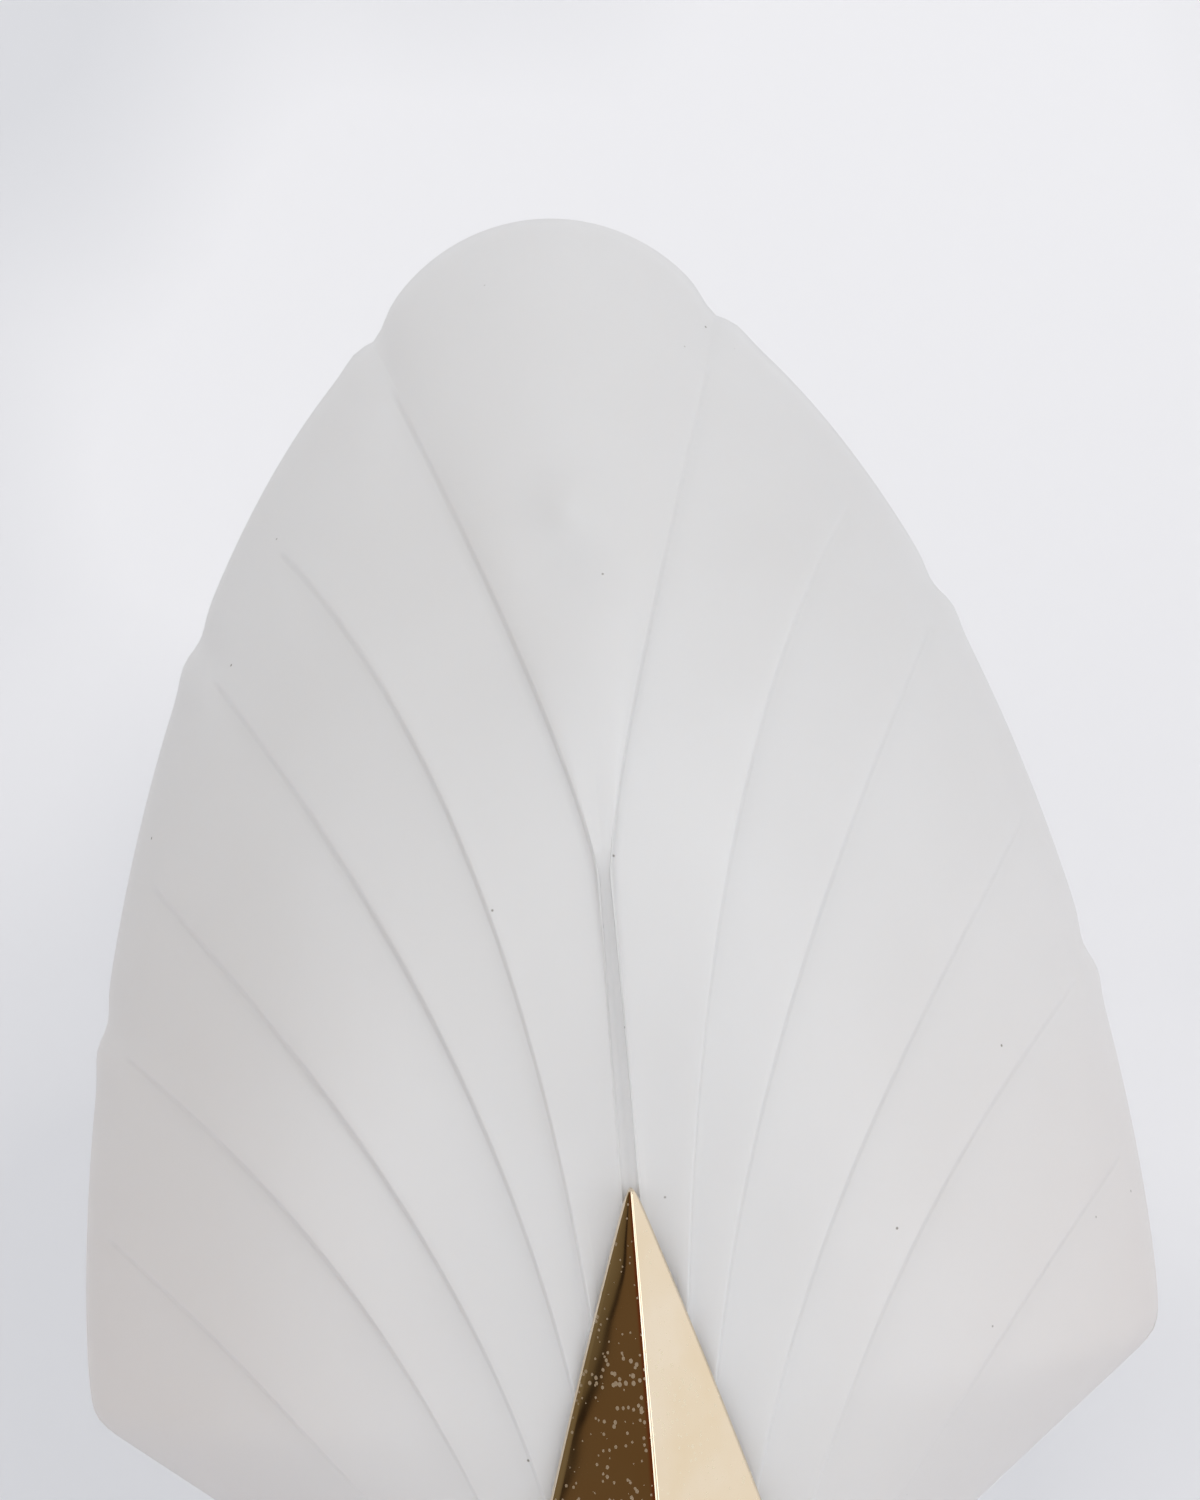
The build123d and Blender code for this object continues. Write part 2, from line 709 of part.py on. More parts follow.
def turned(points):
    """A piece turned about the lamp axis from its half profile: (radius, height)."""
    with BuildPart() as piece:
        with BuildSketch(facing(lamp_depth, 0)):
            with BuildLine():
                Polyline(*points, close=True)
            make_face()
        revolve(axis=lamp_axis)
    return piece.part


nipple_top = holder_foot_height + 8
cap_waist = holder_radius - holder_wall          # the skirt screws over the foot cap
foot_cap_top = holder_foot_height + foot_cap_tall
skirt_foot = holder_foot_height + foot_cap_rim
skirt_top = holder_foot_height + holder_tall
socket_foot = foot_cap_top + disc_thick
socket_lip = 0.8
skirt_lip = 2.0

with BuildPart() as nipple:
    with BuildSketch(level(arm_height - nipple_below)):
        Circle(nipple_radius)
        Circle(nipple_bore, mode=Mode.SUBTRACT)
    extrude(amount=nipple_top - arm_height + nipple_below)
    chamfer(nipple.edges().filter_by(GeomType.CIRCLE).group_by(SortBy.RADIUS)[-1], 0.5)
save(nipple.part, "nipple")

with BuildPart() as nipple_nuts:
    for nut_foot in (arm_height - nut_thick, arm_top, holder_foot_height - nut_thick):
        with BuildSketch(level(nut_foot)):
            RegularPolygon(nut_across / 2, 6, major_radius=False)
            Circle(nipple_radius, mode=Mode.SUBTRACT)
        extrude(amount=nut_thick)
save(nipple_nuts.part, "nipple_nuts")

with BuildPart() as holder_cap:
    add(turned([(nipple_radius, holder_foot_height),
                (nipple_radius + foot_cap_flat, holder_foot_height),
                (holder_radius, holder_foot_height + foot_cap_shoulder),
                (holder_radius, skirt_foot),
                (cap_waist, skirt_foot), (cap_waist, foot_cap_top),
                (cap_waist - holder_wall, foot_cap_top), (cap_waist - holder_wall, skirt_foot),
                (nipple_radius + foot_cap_flat - 1, holder_foot_height + holder_wall + 1),
                (nipple_radius, holder_foot_height + holder_wall + 1)]))
save(holder_cap.part, "holder_cap")

with BuildPart() as holder_skirt:
    add(turned([(cap_waist, skirt_foot), (holder_radius, skirt_foot),
                (holder_radius, skirt_top - 1), (holder_radius - 1, skirt_top),
                (bulb_radius / 2 + lamp_clear, skirt_top),
                (bulb_radius / 2 + lamp_clear, skirt_top - skirt_lip),
                (cap_waist, skirt_top - skirt_lip)]))
    # a band of grip flutes round the skirt
    with BuildSketch(level(skirt_foot + 4)):
        with PolarLocations(holder_radius + 0.5, 24):
            Circle(1.0)
    extrude(amount=16, mode=Mode.SUBTRACT)
save(holder_skirt.part, "holder_skirt")

with BuildPart() as holder_disc:
    with BuildSketch(level(foot_cap_top)):
        Circle(cap_waist - 0.2)
        with GridLocations(2 * lead_radius + lead_gap, 1, 2, 1):
            Circle(lead_radius, mode=Mode.SUBTRACT)
    extrude(amount=disc_thick)
save(holder_disc.part, "holder_disc")

with BuildPart() as socket_shell:
    outer = socket_radius + socket_wall
    add(turned([(socket_radius - 2, socket_foot), (outer + 2, socket_foot),
                (outer + 2, socket_foot + socket_lip), (outer, socket_foot + socket_lip),
                (outer, socket_foot + socket_tall), (socket_radius, socket_foot + socket_tall),
                (socket_radius, socket_foot + socket_lip),
                (socket_radius - 2, socket_foot + socket_lip)]))
save(socket_shell.part, "socket_shell")

# The centre contact is a bowed strip of spring bronze.
contact_bow = 3.5
contact_thick = 0.5
contact_half = 8.0
with BuildPart() as centre_contact:
    with BuildSketch(facing(lamp_depth + 3, socket_foot)):
        with BuildLine():
            ThreePointArc((-contact_half, 0), (0, contact_bow), (contact_half, 0))
            Line((contact_half, 0), (contact_half - 2, 0))
            ThreePointArc((contact_half - 2, 0), (0, contact_bow - contact_thick),
                          (2 - contact_half, 0))
            Line((2 - contact_half, 0), (-contact_half, 0))
        make_face()
    extrude(amount=-6)
save(centre_contact.part, "centre_contact")

# ---------------------------------------------------------------- lamp
lamp_foot = socket_foot + contact_bow + lamp_clear
button_tall = 2.0
insulator_tall = 4.5
cap_foot = lamp_foot + insulator_tall
cap_top = cap_foot + cap_tall
bulb_top = lamp_foot + bulb_tall
globe_height = bulb_top - bulb_radius
neck_radius = bulb_radius / 2

with BuildPart() as lamp_contact:
    with BuildSketch(level(lamp_foot)):
        Circle(contact_radius)
    extrude(amount=button_tall)
    fillet(lamp_contact.edges().group_by(Axis.Z)[0], 1.2)
save(lamp_contact.part, "lamp_contact")

with BuildPart() as lamp_insulator:
    add(turned([(0, lamp_foot + button_tall), (contact_radius + 1, lamp_foot + button_tall),
                (cap_radius - 2, cap_foot), (0, cap_foot)]))
save(lamp_insulator.part, "lamp_insulator")

with BuildPart() as lamp_cap:
    thread_pitch = 3.6
    crest_out, root_out = cap_radius, cap_radius - 0.9
    edge = [(cap_radius - 2, cap_foot)]
    turns = int((cap_tall - 4) / thread_pitch)
    for n in range(turns):
        edge += [(root_out, cap_foot + 1 + n * thread_pitch),
                 (crest_out, cap_foot + 1 + (n + 0.5) * thread_pitch)]
    edge += [(root_out, cap_foot + 1 + turns * thread_pitch), (cap_radius, cap_top), (0, cap_top),
             (0, cap_foot)]
    add(turned(edge))
save(lamp_cap.part, "lamp_cap")

with BuildPart() as bulb:
    with BuildSketch(facing(lamp_depth, 0)):
        with BuildLine():
            globe_foot = (bulb_radius * cos(radians(-28)), globe_height + bulb_radius * sin(radians(-28)))
            CenterArc((0, globe_height), bulb_radius, -28, 118)
            Spline((neck_radius - 2, cap_top), (neck_radius, cap_top + 6), globe_foot,
                   tangents=[(0, 1), (sin(radians(28)), cos(radians(28)))])
            Polyline((neck_radius - 2, cap_top), (0, cap_top), (0, bulb_top))
        make_face()
    revolve(axis=lamp_axis)
save(bulb.part, "bulb")

# ---------------------------------------------------------------- wiring
block_back = plate_thick
block_front = block_back + block_deep

with BuildPart() as terminal_block:
    with BuildSketch(facing(block_back, block_height, block_x)):
        RectangleRounded(block_wide, block_tall, 1.5)
        Circle(small_screw_radius, mode=Mode.SUBTRACT)
    extrude(amount=block_deep)
    with BuildSketch(facing(block_front, block_height, block_x)):
        Rectangle(1.5, block_tall)
    extrude(amount=-3, mode=Mode.SUBTRACT)
    with BuildSketch(facing(block_front, block_height, block_x)):
        with GridLocations(pole_spacing, block_tall / 2, 2, 2):
            Circle(2.2)
    extrude(amount=-4, mode=Mode.SUBTRACT)
    with BuildSketch(level(block_height - block_tall / 2, block_back + block_deep / 2, block_x)):
        with GridLocations(pole_spacing, 1, 2, 1):
            Circle(lead_radius)
    extrude(amount=block_tall, mode=Mode.SUBTRACT)
save(terminal_block.part, "terminal_block")

with BuildPart() as terminal_screws:
    with BuildSketch(facing(block_front - 4, block_height, block_x)):
        with GridLocations(pole_spacing, block_tall / 2, 2, 2):
            Circle(2.0)
    extrude(amount=2.5)
    with BuildSketch(facing(block_front - 1.5, block_height, block_x)):
        with GridLocations(pole_spacing, block_tall / 2, 2, 2):
            Rectangle(3.2, 0.6)
    extrude(amount=-0.8, mode=Mode.SUBTRACT)
save(terminal_screws.part, "terminal_screws")

with BuildPart() as block_rivet:
    with BuildSketch(facing(0.2, block_height, block_x)):
        Circle(small_screw_radius)
    extrude(amount=block_front - 3.2)
save(block_rivet.part, "block_rivet")

washer_thick = 0.8
with BuildPart() as earth_washer:
    with BuildSketch(facing(plate_thick, earth_height, earth_x)):
        Circle(small_head_radius + 1.2)
        Circle(small_screw_radius - 0.1, mode=Mode.SUBTRACT)
    extrude(amount=washer_thick)
save(earth_washer.part, "earth_washer")
pan_screws("earth_screw", [(earth_x, earth_height, plate_thick + washer_thick)])

# Two leads run from the block, down past the shelf and up through the nipple. Each
# corner's arc takes 0.45 of its shorter run.
lead_spread = lead_radius + lead_gap / 2
lead_drawn = lead_radius - 0.05


def lead_route(side):
    """Corners of one lead, from the block to the disc of the lampholder."""
    end_x = side * lead_spread
    start_x = block_x + side * pole_spacing / 2
    drop = 24 + 6 * side
    return [at(start_x, block_back + block_deep / 2, block_height - block_tall / 2),
            at(start_x, block_back + block_deep / 2 + 1, block_height - block_tall / 2 - drop),
            at(start_x - lead_sway, block_back + block_deep / 2 + lead_sway,
               arm_height - 22 - 3 * side),
            at(end_x + lead_entry, lamp_depth - lead_sway, arm_height - 40 - 3 * side),
            at(end_x, lamp_depth, arm_height - nipple_below - 12),
            at(end_x, lamp_depth, socket_foot - 1)]


def corner_radii(points):
    """The radius of each corner's arc: 0.45 of the shorter run over tan(half turn)."""
    radii = []
    for before, here, after in zip(points, points[1:], points[2:]):
        turn = radians((here - before).get_angle(after - here))
        shorter = min((here - before).length, (after - here).length)
        radii.append(0.45 * shorter / tan(turn / 2))
    return radii


for side, name in ((-1, "live_lead"), (1, "neutral_lead")):
    route = lead_route(side)
    radii = corner_radii(route)
    print(name, "bend radii", [round(r, 1) for r in radii])
    with BuildPart() as lead:
        with BuildLine() as path:
            FilletPolyline(*route, radius=radii)
        with BuildSketch(path.line ^ 0):
            Circle(lead_drawn)
        sweep()
    tube_long = path.wires()[0].length
    share = lead.part.volume / (pi * lead_drawn ** 2 * tube_long)
    print(name, "length", round(tube_long, 1), "volume over section times length", round(share, 4))
    save(lead.part, name)
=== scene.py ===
# %% [markdown]
# # A shell wall sconce in satin glass and brass
# The object is a wall lamp: one pressed glass shell with a fan of ribs, held at its
# foot by a faceted brass pyramid, with a lamp standing behind the glass. The packed
# CAD model is the frame. Everything here is in metres, +Z is up and the front is -Y.
# The glass and the brass cover are made again as fine grids with the formulas of the
# CAD source, because the light on the ribs and the mirror of the brass are what the eye
# reads first. All other pieces keep their CAD shape and get materials.

# %% Load the frame
from functools import partial
from math import atan2, cos, pi, radians, sin, tan

import bpy
import numpy as np
from mathutils import Matrix, Vector

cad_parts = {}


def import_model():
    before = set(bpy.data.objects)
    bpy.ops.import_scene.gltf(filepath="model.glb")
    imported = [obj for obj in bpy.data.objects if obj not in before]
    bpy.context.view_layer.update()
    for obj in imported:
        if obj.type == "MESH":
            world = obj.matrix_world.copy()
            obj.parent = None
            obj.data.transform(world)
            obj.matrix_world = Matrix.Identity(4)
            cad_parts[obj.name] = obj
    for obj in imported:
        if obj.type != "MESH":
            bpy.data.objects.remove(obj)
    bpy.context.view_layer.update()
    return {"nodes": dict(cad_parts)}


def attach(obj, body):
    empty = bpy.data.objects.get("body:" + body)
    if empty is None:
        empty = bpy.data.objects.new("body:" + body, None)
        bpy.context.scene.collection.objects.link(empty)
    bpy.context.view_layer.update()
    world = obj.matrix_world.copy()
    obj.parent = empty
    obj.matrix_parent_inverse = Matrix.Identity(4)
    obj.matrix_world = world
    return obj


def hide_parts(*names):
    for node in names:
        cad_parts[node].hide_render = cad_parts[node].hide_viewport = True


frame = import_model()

# %% [markdown]
# ## Small helpers
# Colours are told as the hex values that an image shows, and Blender wants linear
# light, so one function converts them. A second one adds a shader node and fills its
# sockets, either with a value or with a link, which keeps every material readable.

# %% Helpers for colours and nodes
MM = 0.001


def colour(text):
    """Linear RGBA of an sRGB hex colour such as '#E3E4E6'."""
    parts = [int(text[i:i + 2], 16) / 255 for i in (1, 3, 5)]
    linear = [p / 12.92 if p <= 0.04045 else ((p + 0.055) / 1.055) ** 2.4 for p in parts]
    return (*linear, 1.0)


def add_node(tree, kind, settings=None, **inputs):
    """Add a shader node. A socket is named with _ for a space, or i0, i1 by number."""
    node = tree.nodes.new("ShaderNode" + kind)
    for name, value in (settings or {}).items():
        setattr(node, name, value)
    for name, value in inputs.items():
        key = int(name[1:]) if name[1:].isdigit() else name.replace("_", " ")
        socket = node.inputs[key]
        if isinstance(value, bpy.types.NodeSocket):
            tree.links.new(value, socket)
        else:
            socket.default_value = value
    return node


def new_material(name):
    """An empty material: its tree, its Principled shader and the object's coordinates."""
    material = bpy.data.materials.new(name)
    material.use_nodes = True
    tree = material.node_tree
    shader = tree.nodes["Principled BSDF"]
    place = add_node(tree, "TexCoord").outputs["Object"]
    return material, tree, shader, place


def ramp(tree, factor, stops):
    """A colour ramp through (position, hex) stops."""
    node = add_node(tree, "ValToRGB", Fac=factor)
    elements = node.color_ramp.elements
    while len(elements) < len(stops):
        elements.new(0.5)
    for element, (position, text) in zip(elements, stops):
        element.position, element.color = position, colour(text)
    return node.outputs["Color"]


def blend(tree, factor, first, second):
    """A colour that runs from first to second; either is a socket or a hex colour."""
    first, second = (colour(c) if isinstance(c, str) else c for c in (first, second))
    node = add_node(tree, "Mix", {"data_type": "RGBA"}, i0=factor, i6=first, i7=second)
    return node.outputs[2]


def spread(tree, factor, low, high, start=0.0, end=1.0):
    """A number that runs from low to high while factor runs from start to end."""
    node = add_node(tree, "MapRange", i0=factor, i1=start, i2=end, i3=low, i4=high)
    return node.outputs[0]


def noise(tree, place, size_mm, detail=3.0, roughness=0.5, stretch=(1, 1, 1)):
    """Noise whose features are about size_mm wide, from 0 to 1."""
    spot = place
    if stretch != (1, 1, 1):
        spot = add_node(tree, "Mapping", Vector=place, Scale=stretch).outputs[0]
    node = add_node(tree, "TexNoise", Vector=spot, Scale=1000 / size_mm, Detail=detail,
                    Roughness=roughness)
    return node.outputs["Fac"]


print("helpers ready")

# %% [markdown]
# ## The camera
# The photograph was fitted with a long lens: the camera stands 1.3 m from the rim of
# the glass, a little to the left, and is rolled a few degrees, so the object leans.
# The foot of the brass lies below the picture, as in the photograph.

# %% Camera
yaw, roll, camera_away = radians(2.5), radians(4.6), 1.3
aim_x, aim_y, aim_z = 5.8 * MM, -0.008, 0.0773
sensor_mm, focal_pixels, picture_pixels = 36.0, 4742, 1500
camera_data = bpy.data.cameras.new("camera")
camera_data.sensor_width = sensor_mm
camera_data.lens = sensor_mm * focal_pixels / picture_pixels
camera = bpy.data.objects.new("camera", camera_data)
bpy.context.collection.objects.link(camera)
bpy.context.scene.camera = camera
forward = Vector((sin(yaw), cos(yaw), 0))
right = Vector((cos(yaw), -sin(yaw), 0))
up = Vector((0, 0, 1))
rolled_right = cos(roll) * right - sin(roll) * up
rolled_up = cos(roll) * up + sin(roll) * right
turn = Matrix((rolled_right, rolled_up, -forward)).transposed()
stand = (aim_x - camera_away * sin(yaw), aim_y - camera_away * cos(yaw), aim_z)
camera.matrix_world = Matrix.Translation(stand) @ turn.to_4x4()
print("lens", round(camera_data.lens, 1), "mm")

# %% [markdown]
# ## The form of the glass
# Three curves make the shell: its outline from the front, the crest line of the bowl
# from the side, and for each level cut a circular arc that meets the rim steeply. The
# functions take whole arrays, so the grid is made without a loop over its points.
# Sizes are in mm, and height is measured from the foot of the brass.

# %% Formulas of the bowl
plate_height, foot_height = 190.0, 12.0
half_width, widest_height = 147.5, 100.0
outline_top, outline_bulge, outline_round = 405.0, 1.75, 0.53
lobe_centre, lobe_radius = 369.0, 44.7
notch_step, notch_wide, notch_room = 1.9, 5.0, 20.0
edge_slope, corner_soft = radians(37.9), 5.0
rim_gap, glass_wall, rim_angle = 8.0, 5.0, radians(70)
crest_rise, crest_height, crest_top, crest_fall = 105.0, 190.0, 414.5, 300.0
bowl_top, past_rim = 425.0, 1.05


def edge_line(h):
    """Half width along the straight bottom edge: x = x0 + h / tan(slope)."""
    return half_width + corner_soft - (widest_height - h) / tan(edge_slope)


def outline(h, inset=0.0, top=outline_top):
    """Half width: w(h) = W (1 - r^bulge)^round over the widest place, r the share of
    the way to the top, blended softly with the bottom edge line."""
    rise = np.clip((h - widest_height) / (top - widest_height), 0, 0.9999)
    flank = half_width * (1 - rise ** outline_bulge) ** outline_round
    gap = flank - edge_line(h)
    return np.maximum((flank + edge_line(h) - np.hypot(gap, corner_soft)) / 2 - inset, 1.0)


def bowl(x, h, inset=0.0):
    """Rise over the rim: crest(h) times the arc (sqrt(1 - (u sin a)^2) - cos a) /
    (1 - cos a), where a is the rim angle and u = |x| / width, the width of an outline
    that is carried on over the top lobe, so that the bowl stays smooth there."""
    reach = np.where(h > crest_height, crest_top - crest_height, crest_fall)
    crest = crest_rise * (1 - ((h - crest_height) / reach) ** 2) - inset
    u = np.minimum(np.abs(x) / outline(h, inset, bowl_top), past_rim)
    arc = (np.sqrt(1 - (u * sin(rim_angle)) ** 2) - cos(rim_angle)) / (1 - cos(rim_angle))
    return crest * arc


def smooth_step(v):
    """0 below 0, 1 above 1, and v^3 (v (6 v - 15) + 10) between, which leaves no line
    in the light where it starts or ends."""
    v = np.clip(v, 0.0, 1.0)
    return v ** 3 * (v * (6 * v - 15) + 10)


def rim_normal(h):
    """Outward direction of the outline seen from the front: (2, -dw/dh), made unit."""
    run = outline(h + 1.0) - outline(h - 1.0)
    return np.stack([2 + 0 * run, -run], -1) / np.hypot(run, 2.0)[..., None]


def rim_point(h):
    """A place on the smooth outline, (w(h), h)."""
    return np.stack([outline(h), h], -1)


widest = outline(np.linspace(widest_height, 2 * widest_height, 101)).max()
print("glass is", round(2 * float(widest), 1), "mm wide")

# %% [markdown]
# ## The fan of ribs
# Every rib is a line from the foot to the rim that bends outward once, a parabola.
# The glass between two ribs is a petal: it starts low at the outer foot of one rib,
# climbs in a hollow curve to the crest of the next, and drops down again in a narrow
# band. That sawtooth gives each rib one bright and one dark side. Toward the foot the
# drop has a soft tail, and between the two first ribs the glass is filled up to a low
# rounded crest. A soft boss with a hollow below it stands in the middle of the top petal.

# %% Rib lines and their grid
rib_step, rib_band, rib_round = 1.9, 2.4, 0.3
# how softly the relief ends: at the rim, in the middle of a petal, and behind a rib
rib_fade, petal_fade, rib_tail, tail_share = 4.5, 36.0, 0.45, 0.18
tail_from, tail_way = 0.35, 0.4
# the plain border inside the rim is wider toward the top
rib_border_heights, rib_borders = [150, 304, 338, 384], [6.0, 9.0, 12.0, 15.0]
petal_hollow, rib_rise_height = 1.5, 140.0
# each line is straight from its foot to its bend and leans over to its end on the rim
middle_bend, middle_lean = (0, 235), (0, 272)
rib_feet = [3.9, 9.1, 14.3, 19.5, 24.7, 29.9]
rib_bends = [(1.2, 235), (9.1, 12), (14.3, 12), (19.5, 12), (24.7, 12), (29.9, 12)]
rib_leans = [(5.0, 272), (4.0, 250), (3.0, 165), (20.0, 136), (53.0, 145), (92.0, 119)]
rib_ends = [384.0, 338.5, 304.0, 248.0, 201.5, 152.0]
rib_notched = [True, False, True, False, True, False]
corner_low = 91.0
# the slot of the clamp screw, the boss, the hollow below it, and the filled strip
clamp_height, slot_above, slot_limit, slot_ease = 70.0, 6.0, 7.8, 0.38
boss_height, boss_radius, boss_proud = 332.0, 7.0, 2.2
dip_below, dip_radius, dip_deep = 13.0, 13.0, 1.8
strip_fill, strip_tail, strip_half, strip_crest = 14.0, 1.8, 2.0, 0.12
# the grid: rows along a line, closer near the rim, and lines across petal and band
outer_rows, inner_rows, row_crowd, rim_pull = 190, 44, 1.25, 6
petal_lines, band_lines, corner_lines = 18, 6, 22


def bent(foot, start, lean, end, s):
    """Straight from foot to start, then the parabola start, lean, end:
    (1-t)^2 start + 2 t (1-t) lean + t^2 end."""
    foot, start, lean, end = (np.array(p, float) for p in (foot, start, lean, end))
    straight = (start[1] - foot[1]) / (end[1] - foot[1])
    t = np.clip((s - straight) / (1 - straight), 0, 1)[..., None]
    curve = (1 - t) ** 2 * start + 2 * t * (1 - t) * lean + t ** 2 * end
    if straight <= 0:
        return curve
    line = foot + (s / straight)[..., None] * (start - foot)
    return np.where((s < straight)[..., None], line, curve)


def petal_block(low, high, share, end, s):
    """Lines between two bounding lines: the blend of both at each s, plus s^2 times
    what each needs to reach its own place on the rim."""
    chord = low(np.ones(1)) * (1 - share[:, None]) + high(np.ones(1)) * share[:, None]
    between = low(s) * (1 - share[:, None, None]) + high(s) * share[:, None, None]
    return between + (s ** 2)[..., None] * (end - chord)[:, None, :]


def lobe_point(share):
    """The top lobe from its middle (0) to its notch (1): a circle round the lobe's
    centre whose radius grows with share^2 until it meets the outline."""
    side, rise = float(outline(np.array(rib_ends[0]))), rib_ends[0] - lobe_centre
    angle = pi / 2 + share * (atan2(rise, side) - pi / 2)
    radius = lobe_radius + share ** 2 * (np.hypot(side, rise) - lobe_radius)
    return np.stack([radius * np.cos(angle), lobe_centre + radius * np.sin(angle)], -1)


def block(low, high, share, ends, normals, relief, tail, fade):
    """A band of lines between two bounding lines: share says where each line lies
    between them, relief how high it stands, tail what the soft tail of the rib adds,
    and fade how slowly the relief ends at the rim."""
    return dict(low=low, high=high, share=share, ends=ends, normals=normals,
                relief=relief, tail=tail, fade=fade)


def add_notches(blocks):
    """Give each line the swing of its end. Across a notch the rim runs in a soft S:
    step / 2 * d exp((1 - d^2) / 2), where d is the way along the rim over its width."""
    ends = np.concatenate([part["ends"] for part in blocks])
    way = np.concatenate([[0], np.cumsum(np.hypot(*np.diff(ends, axis=0).T))])
    firsts = np.cumsum([0] + [len(part["share"]) for part in blocks])
    swing = 0 * way
    for n, notched in enumerate(rib_notched):
        if notched:
            middle = (way[firsts[2 * n + 1]] + way[firsts[2 * n + 2]]) / 2
            d = (way - middle) / notch_wide
            swing += notch_step / 2 * d * np.exp((1 - d ** 2) / 2)
    for part, first, last in zip(blocks, firsts, firsts[1:]):
        part["swing"] = swing[first:last]


def shell_blocks():
    """All lines of the right half, as blocks from the middle to the bottom edge."""
    cut = foot_height
    top = lobe_point(np.zeros(1))[0]
    low = partial(bent, (0, cut), middle_bend, middle_lean, top)
    low_height, blocks, tail_weight = top[1], [], 0
    for n, end_height in enumerate(rib_ends):
        end = rim_point(np.array(end_height))
        rib = partial(bent, (rib_feet[n], cut), rib_bends[n], rib_leans[n], end)
        share = np.linspace(0, 1, petal_lines + 1)[:-1]
        heights = low_height + share * (end_height - low_height)
        ends, normals = rim_point(heights), rim_normal(heights)
        if n == 0:
            ends = lobe_point(share)
            normals = ends - np.array([0, lobe_centre])
            normals /= np.linalg.norm(normals, axis=-1, keepdims=True)
        inner_fade = np.cos(pi / 2 * share) if n == 0 else np.sin(pi * share)
        blocks.append(block(low, rib, share, ends, normals, share ** petal_hollow,
                            np.exp(-share / tail_share) * tail_weight,
                            rib_fade + petal_fade * inner_fade))
        band_height = end_height - rib_band * rim_normal(np.array(end_height))[0] - rib_round
        band_end = rim_point(band_height)
        foot = (rib_feet[n] + rib_band / 3, cut)
        start = (rib_bends[n][0] + rib_band / 3, rib_bends[n][1])
        lean = (rib_leans[n][0] + rib_band / 2, rib_leans[n][1] - rib_band / 2)
        band = partial(bent, foot, start, lean, band_end)
        u = np.linspace(0, 1, band_lines + 1)[:-1]
        ends = end + u[:, None] * (band_end - end)
        normals = rim_normal(end_height + u * (band_height - end_height))
        tail_weight = 1 if n else strip_tail
        blocks.append(block(rib, band, u, ends, normals, 1 - smooth_step(u),
                            smooth_step(u) * tail_weight, rib_fade + 0 * u))
        low, low_height = band, float(band_height)
    edge_foot = (float(outline(np.array(cut))), cut)
    edge_end = rim_point(np.array(corner_low))
    edge = partial(bent, edge_foot, edge_foot, (np.array(edge_foot) + edge_end) / 2, edge_end)
    share = np.linspace(0, 1, corner_lines + 1)
    heights = low_height + share * (corner_low - low_height)
    ends, normals = rim_point(heights), rim_normal(heights)
    normals[-1] = (sin(edge_slope), -cos(edge_slope))
    relief = np.where(share < 0.8, share, 4 - 4 * share) ** petal_hollow  # back to 0 at the edge
    blocks.append(block(low, edge, share, ends, normals, relief,
                        np.exp(-share / tail_share) * tail_weight,
                        rib_fade + petal_fade * np.sin(pi / 2 * share)))
    add_notches(blocks)
    return blocks


def block_places(part, s):
    """Front-view places of a block's lines. A line whose foot lies over the slot for
    the clamp screw starts at the slot's top."""
    low, high, share, ends = (part[name] for name in ("low", "high", "share", "ends"))
    feet = petal_block(low, high, share, ends, np.zeros(1))[:, 0, 0]
    fine = np.linspace(0, slot_ease, 400)
    heights = petal_block(low, high, share, ends, fine)[..., 1]
    cut = fine[np.argmax(heights > clamp_height + slot_above, axis=1)]
    start = np.where(feet < slot_limit, cut, 0.0)[:, None]
    moved = start + (slot_ease - start) * s[None] / slot_ease
    eased = np.where(s[None] < slot_ease, moved, s[None])
    return petal_block(low, high, share, ends, eased), eased, feet


def raised(blocks, part, places, eased, room):
    """How far the outside stands off the bowl: the ribs and petals, which end at a
    border inside the rim and grow up from the foot, the boss and the hollow below it."""
    border = np.interp(places[:, -1, 1], rib_border_heights, rib_borders)[:, None]
    fade = smooth_step((room - border) / part["fade"][:, None])
    fade = fade * smooth_step(places[..., 1] / rib_rise_height)
    tail = rib_tail * (1 - smooth_step((eased - tail_from) / tail_way))
    relief = part["relief"][:, None] + part["tail"][:, None] * tail
    if part is blocks[0] or part is blocks[1]:
        strip = np.linalg.norm(blocks[0]["high"](eased) - blocks[0]["low"](eased), axis=-1)
        across = np.clip(places[..., 0] / strip_half, 0, 1)
        crest = strip_tail * rib_tail + strip_crest * (1 - across ** 2)
        relief = crest + (relief - crest) * smooth_step(strip / strip_fill)
    from_boss = np.hypot(places[..., 0], places[..., 1] - boss_height)
    from_dip = np.hypot(places[..., 0], places[..., 1] - boss_height + dip_below)
    return (rib_step * (relief - 0.5) * fade
            + boss_proud * np.exp(-(from_boss / boss_radius) ** 2)
            - dip_deep * np.exp(-(from_dip / dip_radius) ** 2))


